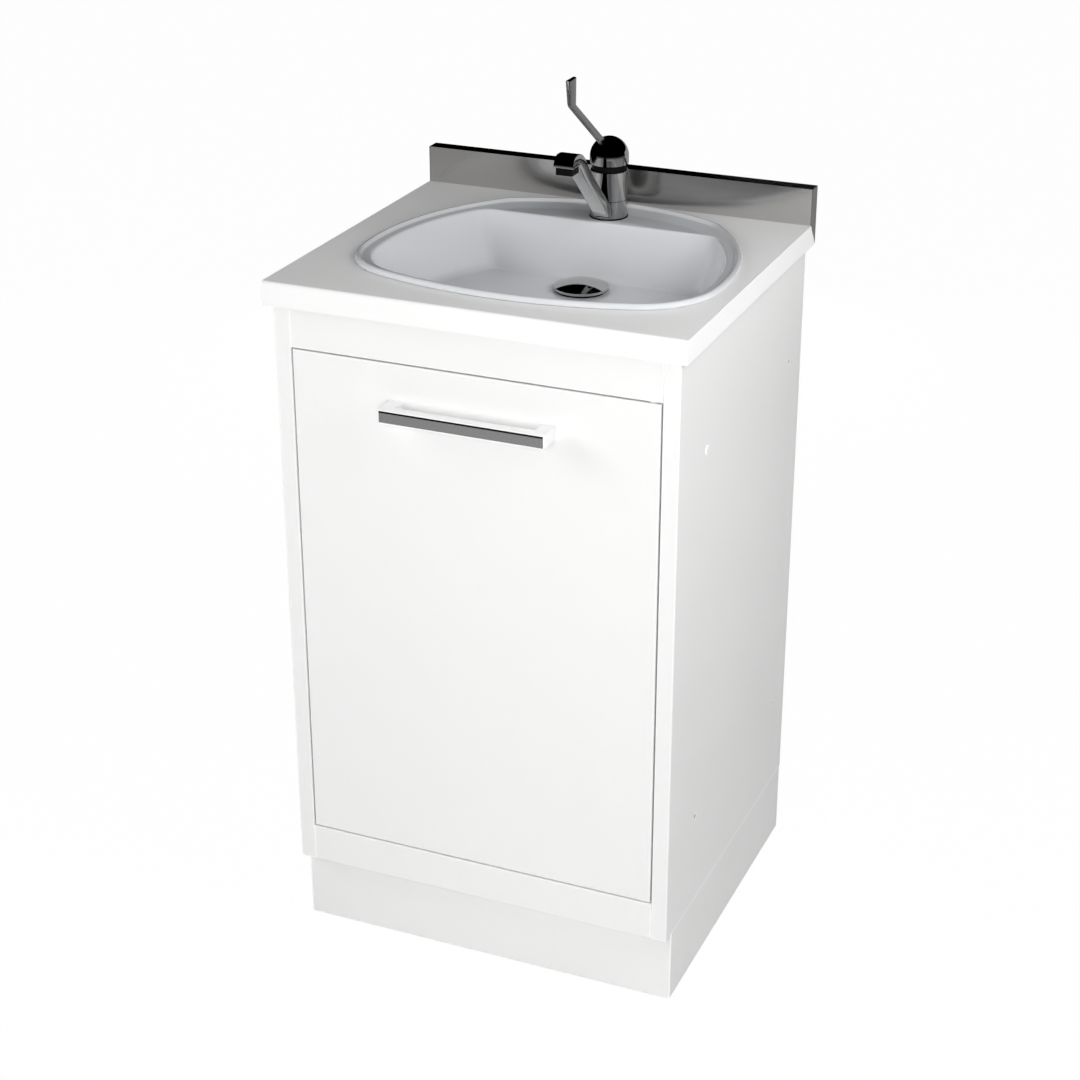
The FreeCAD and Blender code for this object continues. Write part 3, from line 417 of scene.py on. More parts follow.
class Finishes:
    """Every finish of the cabinet, mixed once and handed out by name."""
    made = {}

    @classmethod
    def mix_all(cls, c):
        cls.made = {
            "white_steel": powder_coat("powder_coat_white", c.paint),
            "white_plastic": moulded_plastic("plastic_white", c.plastic, 0.34),
            "white_edging": moulded_plastic("edging_white", shade(c.plastic, 1.07), 0.34),
            "white_board": pressed_laminate("laminate_white", c.laminate),
            "white_ceramic": white_glaze("glaze_white", c.glaze),
            "chrome": polished_plate("chrome_plate", c.chrome),
            # The lever's finish is the tap's chrome darkened: painted shade for its darker reflections.
            "chrome_lever_painted_shade": polished_plate("chrome_lever_plate", shade(c.chrome, 0.58), 0.09, 0.01),
            "stainless": brushed_sheet("stainless_sheet", c.stainless, 0.15, (2.0, 600.0, 600.0), 0.01 * MM),
            "dark_cap": brushed_sheet("stainless_end", shade(c.stainless, 0.55), 0.34),
            "brushed_strip": brushed_sheet("handle_strip_metal", c.strip, 0.24, (3.0, 700.0, 1100.0)),
            "zinc_steel": zinc_plate("zinc_plate", c.zinc),
            "waste_brass": turned_brass("brass_turned", c.brass),
            "seal_rubber": sealing_rubber("rubber_black", c.rubber),
            "pale_seal": sealing_rubber("silicone_pale", c.silicone),
            "black_plastic": black_plastic("plastic_black", c.black),
            # The outlet block is black for the shade it sits in under the spout's head: painted shade.
            "outlet_painted_shade": black_plastic("outlet_black", c.black, 0.16),
            "nylon": moulded_plastic("nylon_natural", c.nylon, 0.5, 50.0),
            "trap_plastic": moulded_plastic("pipe_plastic_white", c.pipe, 0.36, 42.0),
            "board_core": particle_board("board_raw", c.board),
            "aerator_plastic": strainer_mesh("aerator_mesh", c.black),
        }


def finish_of(node):
    for part in frame["record"]["subparts"]:
        if part["node"] == node:
            return part["material_slot"]
    raise RuntimeError("no finish is recorded for " + node)


def dress(nodes, finish=None):
    for node in nodes:
        material = Finishes.made[finish or finish_of(node)]
        for slot in PARTS[node].material_slots:
            slot.material = material


# ---------------------------------------------------------------- mesh tools

def add_piece(name, mesh, body, finish):
    piece = bpy.data.objects.new(name, mesh)
    bpy.context.scene.collection.objects.link(piece)
    mesh.materials.clear()
    mesh.materials.append(Finishes.made[finish])
    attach(piece, body)
    return piece


def settle(bm, mesh, sharp):
    # Smooth faces, with the edges that turn more than the given angle kept sharp.
    for face in bm.faces:
        face.smooth = True
    bm.to_mesh(mesh)
    bm.free()
    mesh.set_sharp_from_angle(angle=math.radians(sharp))
    return mesh


def mesh_from(name, points, faces, sharp):
    mesh = bpy.data.meshes.new(name)
    mesh.from_pydata([tuple(p) for p in points], [], faces)
    bm = bmesh.new()
    bm.from_mesh(mesh)
    bmesh.ops.remove_doubles(bm, verts=bm.verts, dist=0.004 * MM)
    bmesh.ops.recalc_face_normals(bm, faces=bm.faces)
    settle(bm, mesh, sharp)
    mesh.validate()
    return mesh


def skin(rings, capped=True):
    # Faces between rings of equal count, and a cap on each end.
    count = len(rings[0])
    points = [p for ring in rings for p in ring]
    faces = []
    for k in range(len(rings) - 1):
        for j in range(count):
            following = (j + 1) % count
            faces.append((k * count + j, k * count + following, (k + 1) * count + following,
                          (k + 1) * count + j))
    if capped:
        faces.append(tuple(range(count))[::-1])
        faces.append(tuple((len(rings) - 1) * count + j for j in range(count)))
    return points, faces


def turned(name, profile, centre, segments=96, sharp=35):
    # A turned piece from (radius, height) pairs, round an upright axis at centre.
    rings = []
    for radius, height in profile:
        rings.append([(centre[0] + radius * math.cos(2 * math.pi * j / segments),
                       centre[1] + radius * math.sin(2 * math.pi * j / segments), height)
                      for j in range(segments)])
    points, faces = skin(rings)
    return mesh_from(name, points, faces, sharp)


def joined(name, meshes, sharp):
    bm = bmesh.new()
    for mesh in meshes:
        bm.from_mesh(mesh)
    made = settle(bm, bpy.data.meshes.new(name), sharp)
    for mesh in meshes:
        bpy.data.meshes.remove(mesh)
    return made


def bevelled_prism(name, outline, x0, x1, radius, segments=3, keep=None, sharp=40):
    # A side outline of (y, z) corners drawn out from x0 to x1, with its side edges rounded.
    bm = bmesh.new()
    near = [bm.verts.new((x0, y, z)) for y, z in outline]
    far = [bm.verts.new((x1, y, z)) for y, z in outline]
    count = len(outline)
    bm.faces.new(near)
    bm.faces.new(far[::-1])
    for j in range(count):
        following = (j + 1) % count
        bm.faces.new((near[j], near[following], far[following], far[j]))
    bmesh.ops.recalc_face_normals(bm, faces=bm.faces)
    edges = [e for e in bm.edges if abs(e.verts[0].co.x - e.verts[1].co.x) < 1e-7
             and (keep is None or keep(e))]
    bmesh.ops.bevel(bm, geom=edges, offset=radius, segments=segments, profile=0.5, affect="EDGES")
    return settle(bm, bpy.data.meshes.new(name), sharp)


# ---------------------------------------------------------------- basin

class RimOutline:
    """The rim's foot: tangent arcs from the front's middle to the rear's, and their mirror image."""

    def __init__(self, sizes):
        front, back = low("basin"), high("basin")
        self.middle = (front.x + back.x) / 2
        self.front = front.y
        turns = [sizes.front_arc, sizes.front_corner, sizes.side_arc, sizes.rear_corner]
        heads = [sum(turns[:k]) for k in range(5)]
        closing = math.tan((math.pi - heads[4]) / 2)
        half_turn = math.pi / 2
        across = [math.sin(min(b, half_turn)) - math.sin(min(a, half_turn)) for a, b in zip(heads, heads[1:])]
        deep = [math.cos(a) - math.cos(b) + closing * (math.sin(b) - math.sin(a))
                for a, b in zip(heads, heads[1:])]
        width = (back.x - front.x) / 2 - across[1] * sizes.front_corner_radius
        depth = (back.y - front.y) - deep[1] * sizes.front_corner_radius - deep[3] * sizes.rear_corner_radius
        scale = across[0] * deep[2] - across[2] * deep[0]
        radii = [(width * deep[2] - depth * across[2]) / scale, sizes.front_corner_radius,
                 (depth * across[0] - width * deep[0]) / scale, sizes.rear_corner_radius]
        self.arcs = []
        point = Vector((self.middle, self.front))
        for radius, start, end in zip(radii, heads, heads[1:]):
            centre = point - self.out(start) * radius
            self.arcs.append((centre, radius, start, end))
            point = centre + self.out(end) * radius
        radius = (point.x - self.middle) / math.sin(heads[4])
        self.arcs.append((point - self.out(heads[4]) * radius, radius, heads[4], math.pi))

    @staticmethod
    def out(heading):
        return Vector((math.sin(heading), -math.cos(heading)))

    def trace(self, arcs):
        half = []
        for centre, radius, start, end in arcs:
            for k in range(121):
                half.append(centre + self.out(start + (end - start) * k / 120) * radius)
        last = half[-1].copy()
        if last.x - self.middle > MM:
            half += [last.lerp(Vector((self.middle, last.y)), k / 60) for k in range(1, 61)]
        return np.array([(p.x, p.y) for p in half]
                        + [(2 * self.middle - p.x, p.y) for p in reversed(half)])

    def rim(self, inset):
        return self.trace([(c, r - inset, a, b) for c, r, a, b in self.arcs])

    def bowl(self, inset, back, corner):
        front, turn, side = self.arcs[:3]
        reach = side[1] - inset - corner
        heading = math.acos((side[0].y + corner - back) / reach)
        middle = side[0] + self.out(heading) * reach
        return self.trace([(front[0], front[1] - inset, front[2], front[3]),
                           (turn[0], turn[1] - inset, turn[2], turn[3]),
                           (side[0], side[1] - inset, side[2], heading),
                           (middle, corner, heading, math.pi)])


def reach_from(hub, outline, angles):
    # Distance from the hub to a closed outline in each direction.
    away = outline - np.array(hub)
    direction = np.arctan2(away[:, 1], away[:, 0])
    distance = np.hypot(away[:, 0], away[:, 1])
    order = np.argsort(direction)
    return np.interp(angles, direction[order], distance[order], period=2 * math.pi)


def land_height(inset, s, crown, deck):
    # Height of the rim's top side by distance from its foot: bead, its inner slope, land, tap ledge.
    land = crown - s.bead_drop
    slope = (land - deck) / (s.land_end - s.bead)
    knots = [(0, crown), (s.roll + 0.6 * MM, crown), (s.roll + 1.2 * MM, crown - 0.25 * MM),
             (s.roll + 1.9 * MM, crown - 0.95 * MM), (s.bead - 1.6 * MM, land + 1.35 * MM),
             (s.bead - 0.8 * MM, land + 0.55 * MM), (s.bead, land + 0.22 * MM), (s.bead + 1.2 * MM, land),
             (s.land_end - 3.5 * MM, deck + 3.5 * MM * slope), (s.land_end - 2 * MM, deck + 2.1 * MM * slope),
             (s.land_end - 0.8 * MM, deck + 1.1 * MM * slope),
             (s.land_end + 0.5 * MM, deck + 0.5 * MM * slope),
             (s.land_end + 2 * MM, deck + 0.15 * MM * slope), (s.land_end + 3.5 * MM, deck), (1.0, deck)]
    return np.interp(inset, [k[0] for k in knots], [k[1] for k in knots])


def basin_mesh(s):
    outline = RimOutline(s)
    top = high("worktop").z
    crown = high("basin").z
    deck = top + 1.0 * MM
    floor = top - s.depth
    tap_x, tap_y = middle_of("tap_base_ring")
    tap_reach = high("tap_base_ring").x - tap_x + 1.4 * MM
    hub = middle_of("waste_plug")
    angles = np.linspace(0, 2 * math.pi, s.around, endpoint=False)
    back = tap_y - s.back
    slope = (s.floor_inset - s.edge) / s.depth
    lean = s.back_lean / s.depth

    def rim(inset):
        return reach_from(hub, outline.rim(inset), angles)

    def bowl(z, grow=0.0):
        deep = top - z
        corner = s.corner + s.corner_flare * max(1 - deep / s.depth, 0) + grow
        return reach_from(hub, outline.bowl(s.edge + slope * deep - grow, back - lean * deep + grow, corner),
                          angles)

    rings = []

    def ring(reach, heights):
        heights = np.broadcast_to(heights, reach.shape)
        rings.append([(hub[0] + r * math.cos(a), hub[1] + r * math.sin(a), float(z))
                      for r, a, z in zip(reach, angles, heights)])

    foot = low("basin_seal").z + 0.8 * MM
    skirt = 10 * MM
    underside = deck - 14 * MM
    outer_floor = floor - 10 * MM
    waste_hole = 22.6 * MM
    edge_top = bowl(deck, s.edge_radius)
    # Underneath: the rim's foot, the skirt in the cut-out and the ledge's underside.
    ring(rim(skirt), foot)
    ring(rim(1.0 * MM), foot)
    ring(rim(0.2 * MM), foot + 0.15 * MM)
    ring(rim(0), foot + 0.6 * MM)
    # The outer roll.
    base = crown - s.roll
    for k in range(10):
        turn = math.pi / 2 * k / 9
        ring(rim(s.roll * (1 - math.cos(turn))), base + s.roll * math.sin(turn))
    # The land, down to the tap ledge; in front and at the sides it ends at the bowl's edge.
    insets = [5.2, 5.5, 5.8, 6.2, 6.5, 7.2, 8.0, 8.4, 8.8, 9.2, 9.6, 10.2, 10.8, 12.0, 13.5, 15.0, 16.4, 18.0,
              20.0, 23.0, 26.0, 28.5, 30.0, 31.2, 32.5, 34.0, 35.5, 37.0, 41.0, 47.0, 53.0, 60.0]
    table = np.arange(0, 70, 0.5) * MM
    reaches = np.array([rim(inset) for inset in table])
    own_inset = np.array([np.interp(edge_top[j], reaches[::-1, j], table[::-1])
                          for j in range(len(angles))])

    def sink(reach, heights):
        # The flat seat under the tap.
        away = np.hypot(hub[0] + reach * np.cos(angles) - tap_x, hub[1] + reach * np.sin(angles) - tap_y)
        return np.minimum(heights, deck + np.maximum(0, away - tap_reach) * 1.2)

    for inset in insets:
        wanted = np.minimum(inset * MM, own_inset)
        reach = np.maximum(rim(inset * MM), edge_top)
        ring(reach, sink(reach, land_height(wanted, s, crown, deck)))
    edge_z = sink(edge_top, land_height(own_inset, s, crown, deck))
    # The bowl's rounded edge, which stops short of upright because the walls lean.
    edge_turn = 0.86 * math.pi / 2
    for k in range(1, 7):
        turn = edge_turn * k / 6
        z = edge_z - s.edge_radius * (1 - math.cos(turn))
        ring(edge_top + (bowl(deck) - edge_top) * math.sin(turn), z)
    start_reach = edge_top + (bowl(deck) - edge_top) * math.sin(edge_turn)
    # Walls, which slope in to the floor, and the rounding at their foot, as wide as run and as high as rise.
    foot_reach = bowl(floor)
    run = 0.78 * s.floor_radius
    rise = 0.92 * run
    high_reach = bowl(floor + rise)
    for share in (0.12, 0.25, 0.4, 0.55, 0.7, 0.85):
        ring(start_reach + (high_reach - start_reach) * share,
             z + (floor + rise - z) * share)
    square = high_reach - foot_reach - run
    linear = 2 * (foot_reach - high_reach)

    def foot_height(reach):
        # A parabola, tangent to the wall and to the floor.
        root = np.sqrt(linear ** 2 - 4 * square * np.maximum(high_reach - reach, 0))
        return floor + rise * (1 - np.clip((-linear - root) / (2 * square), 0, 1)) ** 2

    lip = s.recess + 0.6 * MM
    for away in (0, 1.0, 2.0, 3.0, 4.2, 5.5, 7.0, 8.5, 10.0, 11.5, 13.5):
        reach = np.maximum(high_reach - away * MM, lip)
        ring(reach, foot_height(reach))
    for share in (0.15, 0.3, 0.45, 0.6, 0.75, 0.88, 0.96, 1.0):
        within = reach + (lip - reach) * share
        ring(within, foot_height(within))
    # The waste's seat, cut level into the floor.
    steady = np.ones(len(angles))
    seat = floor - 0.2 * MM
    step = foot_height(lip * steady) - seat
    ring(steady * (s.recess + 0.2 * MM), seat + step * 0.75)
    ring(steady * s.recess, seat + step * 0.35)
    ring(steady * (s.recess - 0.4 * MM), seat)
    ring(steady * waste_hole, seat)
    ring(steady * waste_hole, outer_floor)
    # The outside of the bowl, seen from inside the cupboard.
    outer_foot = bowl(outer_floor, s.wall)
    outer_flat = outer_foot - 14 * MM
    for share in (0.3, 0.6, 0.85):
        ring(waste_hole * (1 - share) + outer_flat * share, outer_floor)
    outer_bend = floor + 2 * MM
    outer_high = bowl(outer_bend, s.wall)
    for k in range(7):
        t = k / 6
        reach = (1 - t) ** 2 * outer_flat + 2 * t * (1 - t) * outer_foot + t ** 2 * outer_high
        ring(reach, outer_floor + (outer_bend - outer_floor) * t ** 2)
    outer_end = underside - 1 * MM
    outer_top = bowl(outer_end, s.wall)
    inner_skirt = rim(skirt)
    for share in (0.25, 0.5, 0.75, 1.0):
        ring(outer_high + (outer_top - outer_high) * share, outer_bend + (outer_end - outer_bend) * share)
    ring(outer_top + 1 * MM, underside)
    ring(inner_skirt - 1 * MM, underside)
    ring(inner_skirt, underside + 1 * MM)
    rings.append(rings[0])
    points, faces = skin(rings, capped=False)
    return mesh_from("basin_glazed", points, faces, 70)


# ---------------------------------------------------------------- tap

def tap_foot():
    # Where the tap's axis meets the worktop.
    return *middle_of("tap_base_ring"), high("worktop").z


def side_view(corners):
    # (y, z) from corners in millimetres forward of the tap's axis and above the worktop.
    _, y, top = tap_foot()
    return [(y - out * MM, top + up * MM) for out, up in corners]


def section_ring(centre, tangent, width, thickness, upper, lower, steps=5):
    # A rectangle across a path in the side view, with upper and lower corner radii; the tangent is (y, z).
    normal = Vector((-tangent[1], tangent[0]))
    ring = []
    for cx, cn, start in ((1, 1, 0), (-1, 1, 1), (-1, -1, 2), (1, -1, 3)):
        radius = min(upper if cn > 0 else lower, thickness * 0.48)
        for k in range(steps + 1):
            turn = math.pi / 2 * (start + k / steps)
            x = cx * (width / 2 - radius) + radius * math.cos(turn)
            n = cn * (thickness / 2 - radius) + radius * math.sin(turn)
            ring.append((centre[0] + x, centre[1] + normal.x * n, centre[2] + normal.y * n))
    return ring


def smooth_path(knots, steps):
    # Catmull-Rom through knots of equal length tuples.
    knots = [Vector(k) for k in knots]
    knots = [knots[0] * 2 - knots[1]] + knots + [knots[-1] * 2 - knots[-2]]
    made = []
    for a, b, c, d in zip(knots, knots[1:], knots[2:], knots[3:]):
        for k in range(steps):
            t = k / steps
            made.append(0.5 * ((2 * b) + (c - a) * t + (2 * a - 5 * b + 4 * c - d) * t ** 2
                               + (3 * b - a - 3 * c + d) * t ** 3))
    made.append(knots[-2])
    return made


def spout_mesh(s):
    x, y, top = tap_foot()
    radius = (high("tap_body").x - low("tap_body").x) / 2
    shoulder = top + 24.3 * MM
    foot = low("spout").z
    bore = 18.1 * MM
    ring = turned("collar", [(bore, foot), (radius - 0.5 * MM, foot), (radius, foot + 0.5 * MM),
                             (radius, shoulder - 0.4 * MM), (radius - 0.4 * MM, shoulder),
                             (bore, shoulder)], (x, y))
    # The casting in side view: forward, up, thickness, share of the head's width and lower corner radius
    # at each station of its middle line. Past the knee it runs level and its nose is rounded over.
    knots = [(13, 9.9, 16.6, 0.0, 4.2), (24, 15.2, 17.2, 0.0, 4.2), (45, 34.4, 16.0, 0.0, 3.8),
             (75, 61.9, 15.4, 0.0, 3.2), (90, 75.6, 15.2, 0.06, 2.8), (101, 86.0, 15.2, 0.3, 2.4),
             (110, 94.4, 15.0, 0.62, 1.8), (118, 100.8, 14.4, 0.9, 1.2), (125, 105.0, 13.4, 1.0, 0.8),
             (132, 106.6, 12.8, 1.0, 0.8)]
    path = smooth_path([Vector(k) for k in knots], 5)
    nose, crown, sole = 137.4, 113.0, 100.2
    for k in range(11):
        turn = math.pi / 2 * k / 10.4
        up = sole + 0.6 + (crown - sole - 0.6) * math.cos(turn)
        path.append(Vector((nose + 12.0 * math.sin(turn), (up + sole) / 2, up - sole, 1.0, 0.8)))
    rings = []
    for k, station in enumerate(path):
        before = path[max(k - 1, 0)]
        after = path[min(k + 1, len(path) - 1)]
        if station[0] > 132:
            tangent = Vector((-1, 0))
        else:
            tangent = Vector((-(after[0] - before[0]), after[1] - before[1])).normalized()
        narrow = s.root_width + (s.arm_width - s.root_width) * min(station[0] / 75, 1)
        width = narrow + (s.head_width - narrow) * station[3]
        rings.append(section_ring((x, y - station[0] * MM, top + station[1] * MM), tangent,
                                  width, station[2] * MM, 3.6 * MM, station[4] * MM))
    points, faces = skin(rings)
    arm = mesh_from("arm", points, faces, 50)
    half = s.head_width / 2 + 0.1 * MM
    side = side_view([(119, 99.2), (149.0, 99.2), (149.5, 99.8), (149.5, 100.6), (119, 100.6)])
    lip = bevelled_prism("lip", side, x - half, x + half, 0.5 * MM, 2)
    return joined("spout_cast", [ring, arm, lip], 42)


def outlet_mesh(s):
    # The block under the head that holds the aerator.
    x, y, top = tap_foot()
    width, height, nose = 22 * MM, 10.4 * MM, 149.3 * MM
    middle = top + 95.2 * MM
    bm = bmesh.new()
    bmesh.ops.create_cube(bm, size=1.0, matrix=Matrix.Translation((x, y - nose + s.head_width / 2, middle))
                          @ Matrix.Diagonal((width, width, height, 1)))
    upright = [e for e in bm.edges if abs(e.verts[0].co.z - e.verts[1].co.z) > height / 2]
    bmesh.ops.bevel(bm, geom=upright, offset=2.4 * MM, segments=5, profile=0.5, affect="EDGES")
    lower = [e for e in bm.edges if max(v.co.z for v in e.verts) < middle - height / 2 + 1 * MM]
    bmesh.ops.bevel(bm, geom=lower, offset=0.6 * MM, segments=2, profile=0.5, affect="EDGES")
    return settle(bm, bpy.data.meshes.new("outlet"), 38)


def lever_mesh(s):
    x, y, _ = tap_foot()
    side = side_view([(12.0, 87.2), (131.2, 169.2), (132.4, 171.2), (137.8, 200.2), (137.2, 200.8),
                      (115.8, 200.8), (115.2, 200.2), (115.8, 168.6), (115.2, 166.8), (12.0, 96.6)])
    half = s.lever_thickness / 2
    # The root, inside the dome, keeps its sharp edges.
    return bevelled_prism("lever_blade", side, x - half, x + half, s.lever_round, 4,
                          lambda e: max(v.co.y for v in e.verts) < y - 14 * MM)


def cap_mesh():
    x, y, top = tap_foot()
    radius = 24.2 * MM
    foot = top + 68.7 * MM
    centre = top + 77.8 * MM
    bore, ease = radius - 1.6 * MM, 0.5 * MM
    profile = [(bore, centre), (bore, foot), (radius - ease, foot), (radius, foot + ease), (radius, centre)]
    for k in range(1, 25):
        turn = math.pi / 2 * k / 24
        profile.append((max(radius * math.cos(turn), 0.01 * MM), centre + radius * math.sin(turn)))
    return turned("lever_dome", profile, (x, y), 128, 30)


# ---------------------------------------------------------------- operators

class PieceMaker:
    """What the makers of pieces share: they run on the whole scene and can be undone."""
    bl_options = {"REGISTER", "UNDO"}


class SINK_OT_finishes(PieceMaker, bpy.types.Operator):
    """Mix the finishes of all the pieces"""
    bl_idname = "sink.finishes"
    bl_label = "Mix finishes"

    def execute(self, context):
        Finishes.mix_all(context.scene.sink_colours)
        return {"FINISHED"}


class SINK_OT_body(PieceMaker, bpy.types.Operator):
    """Coat the cupboard's panels, rails and plinth"""
    bl_idname = "sink.body"
    bl_label = "Cupboard body"

    def execute(self, context):
        dress(["hole_plug"], "white_steel")
        dress(["side_panel_left", "side_panel_right", "top_rail", "bottom_rail", "rear_brace",
               "floor_panel", "back_panel", "plinth_front", "plinth_rear", "plinth_side_left",
               "plinth_side_right", "pivot_bushing_upper", "pivot_bushing_lower", "door_catch"])
        return {"FINISHED"}


class SINK_OT_door(PieceMaker, bpy.types.Operator):
    """Coat the door with its liner, pivots and strike"""
    bl_idname = "sink.door"
    bl_label = "Door"

    def execute(self, context):
        dress(["door_shell", "door_liner", "pivot_block_upper", "pivot_block_lower", "pivot_pin_upper",
               "pivot_pin_lower", "door_strike"])
        return {"FINISHED"}


class SINK_OT_handle(PieceMaker, bpy.types.Operator):
    """Finish the handle, its metal strip and its screws"""
    bl_idname = "sink.handle"
    bl_label = "Handle"

    def execute(self, context):
        dress(["handle_body", "handle_screws"])
        lo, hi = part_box("handle_strip")
        line = hi.z - 2.3 * MM
        for name, bottom, top, finish in (("handle_strip_faced", lo.z, line, "brushed_strip"),
                                          ("handle_strip_line", line, hi.z, "black_plastic")):
            outline = [(hi.y, bottom), (lo.y, bottom), (lo.y, top), (hi.y, top)]
            piece = add_piece(name, bevelled_prism(name, outline, lo.x, hi.x, 0.15 * MM, 2, sharp=10), "door",
                              finish)
            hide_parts("handle_strip")
        return {"FINISHED"}


class SINK_OT_worktop(PieceMaker, bpy.types.Operator):
    """Finish the worktop, its edging and the upstand"""
    bl_idname = "sink.worktop"
    bl_label = "Worktop and upstand"

    def execute(self, context):
        dress(["worktop", "edge_band_left", "edge_band_right", "splash_core", "splash_cover",
               "splash_cap_left", "splash_cap_right"])
        return {"FINISHED"}


class SINK_OT_basin(PieceMaker, bpy.types.Operator):
    """Form the glazed basin and its seal"""
    bl_idname = "sink.basin"
    bl_label = "Basin"

    def execute(self, context):
        piece = add_piece("basin_glazed", basin_mesh(context.scene.sink_basin), "cabinet", "white_ceramic")
        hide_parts("basin")
        dress(["basin_seal"], "pale_seal")
        return {"FINISHED"}


class SINK_OT_waste(PieceMaker, bpy.types.Operator):
    """Finish the waste, its plug, the trap and the pipe to the wall"""
    bl_idname = "sink.waste"
    bl_label = "Waste and trap"

    def execute(self, context):
        dress(["waste_flange", "waste_gasket", "waste_nut", "waste_tail", "waste_plug", "trap_nut",
               "trap_body", "trap_cup", "trap_outlet_nut", "outlet_pipe"])
        return {"FINISHED"}


class SINK_OT_tap(PieceMaker, bpy.types.Operator):
    """Plate the tap's body and form its spout"""
    bl_idname = "sink.tap"
    bl_label = "Tap and spout"

    def execute(self, context):
        dress(["tap_base_ring", "tap_body", "tap_cartridge", "tap_neck", "tap_washer", "tap_nut", "aerator",
               "carrier", "tilt_pin"])
        sizes = context.scene.sink_tap
        cast = add_piece("spout_cast", spout_mesh(sizes), "spout", "chrome")
        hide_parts("spout")
        # The outlet's black finish is painted shade under the head.
        outlet = add_piece("spout_outlet", outlet_mesh(sizes), "spout", "outlet_painted_shade")
        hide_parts("spout")
        return {"FINISHED"}


class SINK_OT_lever(PieceMaker, bpy.types.Operator):
    """Form the lever's blade and its domed cap"""
    bl_idname = "sink.lever"
    bl_label = "Lever"

    def execute(self, context):
        # The blade takes the darkened chrome, which is painted shade.
        blade = add_piece("lever_blade", lever_mesh(context.scene.sink_tap), "mixer_lever", "chrome_lever_painted_shade")
        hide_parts("lever_arm")
        dome = add_piece("lever_dome", cap_mesh(), "mixer_lever", "chrome")
        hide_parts("lever_cap")
        return {"FINISHED"}


# ---------------------------------------------------------------- stage

def glowing(name):
    # Gives off light of its own and reflects none.
    return Finish(name, base_color=DARK, roughness=1.0, specular_ior_level=0.0, emission_strength=1.0)


def tent_material():
    # Grey near the floor and black above, and black down to the floor behind the cabinet's left.
    f = glowing("tent_grey")
    across, deep, height = (f.node("ShaderNodeSeparateXYZ", {}, {0: f.place}, axis) for axis in range(3))
    behind = f.spread(deep * 0.53 - across * 1.31, 1.5, 1.8, 0.0, 1.0)
    above = f.spread(height, 0.35, 0.95, 0.0, 1.0)
    f.set(emission_color=f.mix(above + behind, shade(WHITE, 0.38), DARK))
    return f.material


def stage_mesh(name, points, faces, material):
    mesh = bpy.data.meshes.new(name)
    mesh.from_pydata(points, [], faces)
    mesh.materials.append(material)
    made = bpy.data.objects.new(name, mesh)
    bpy.context.scene.collection.objects.link(made)
    return made


def lamp(name, place, aim, power):
    # A square lamp a metre wide. Polished faces don't mirror it, only the dark screens.
    data = bpy.data.lights.new(name, "AREA")
    data.size = 1.0
    data.energy = power
    made = bpy.data.objects.new(name, data)
    made.location = place
    made.rotation_euler = (Vector(aim) - Vector(place)).to_track_quat("-Z", "Y").to_euler()
    made.visible_glossy = False
    bpy.context.scene.collection.objects.link(made)


def pale_floor():
    # Nearly plain white to look at; the rest of its surface takes the object's shadow.
    f = Finish("floor_pale", roughness=0.9, specular_ior_level=0.1)
    tone = shade(WHITE, 0.90)
    f.set(base_color=f.mix(f.noise(6.0, 3.0), shade(tone, 0.99), tone))
    f.show(f.onlookers() * 0.985, f.shader, f.node("ShaderNodeEmission", {}, {"Color": WHITE}))
    far = 30.0
    stage_mesh("floor", [(-far, -far, 0), (far, -far, 0), (far, far, 0), (-far, far, 0)], [(0, 1, 2, 3)],
               f.material)


def upright_screen(levels, places, closed):
    # Points at every level over every place, and the faces between them.
    count = len(places)
    points = [(px, py, z) for z in levels for px, py in places]
    faces = [(k * count + j, k * count + (j + 1) % count, (k + 1) * count + (j + 1) % count,
              (k + 1) * count + j)
             for k in range(len(levels) - 1) for j in range(count if closed else count - 1)]
    return points, faces


def dark_screens():
    # A dark tent round the cabinet, which only polished faces mirror: grey near the floor, black above.
    reach, around = 1.7, 48
    places = [(reach * math.cos(2 * math.pi * j / around), reach * math.sin(2 * math.pi * j / around))
              for j in range(around)]
    points, faces = upright_screen((0.0, 0.45, 0.8, 0.98, 1.1, 3.0), places, True)
    faces.append(tuple(len(points) - around + j for j in range(around)))
    tent = stage_mesh("tent", points, faces, tent_material())
    # A grey screen behind the cabinet's right, which the dome and the tap's body mirror at their edge.
    reach = 1.5
    places = [(reach * math.sin(math.radians(turn)), reach * math.cos(math.radians(turn)))
              for turn in range(-10, 56, 6)]
    points, faces = upright_screen((0.2, 1.15), places, False)
    grey = glowing("card_grey")
    grey.set(emission_color=shade(WHITE, 0.42))
    card = stage_mesh("card_right", points, faces, grey.material)
    for screen in (tent, card):
        screen.visible_camera = False
        screen.visible_diffuse = False
        screen.visible_shadow = False
        screen.visible_transmission = False


def studio_world(sky):
    # Even light from all round, and plain white for the camera, reflections and what is seen through.
    world = bpy.data.worlds.new("studio")
    world.use_nodes = True
    w = Mixture(world.node_tree, "ShaderNodeOutputWorld")
    even, plain = (w.node("ShaderNodeBackground", {}, {"Color": WHITE, "Strength": strength})
                   for strength in (sky, 1.0))
    w.show(w.onlookers(), even, plain)
    return world


def photo_camera(s):
    data = bpy.data.cameras.new("camera")
    data.sensor_width = 36.0
    data.lens = s.lens
    data.clip_end = 100.0
    camera = bpy.data.objects.new("camera", data)
    bpy.context.scene.collection.objects.link(camera)
    back = Vector((math.sin(s.azimuth) * math.cos(s.elevation),
                   -math.cos(s.azimuth) * math.cos(s.elevation), math.sin(s.elevation)))
    camera.rotation_mode = "QUATERNION"
    camera.location = s.eye
    camera.rotation_quaternion = ((-back).to_track_quat("-Z", "Y")
                                  @ Matrix.Rotation(s.roll, 3, "Z").to_quaternion())
    return camera


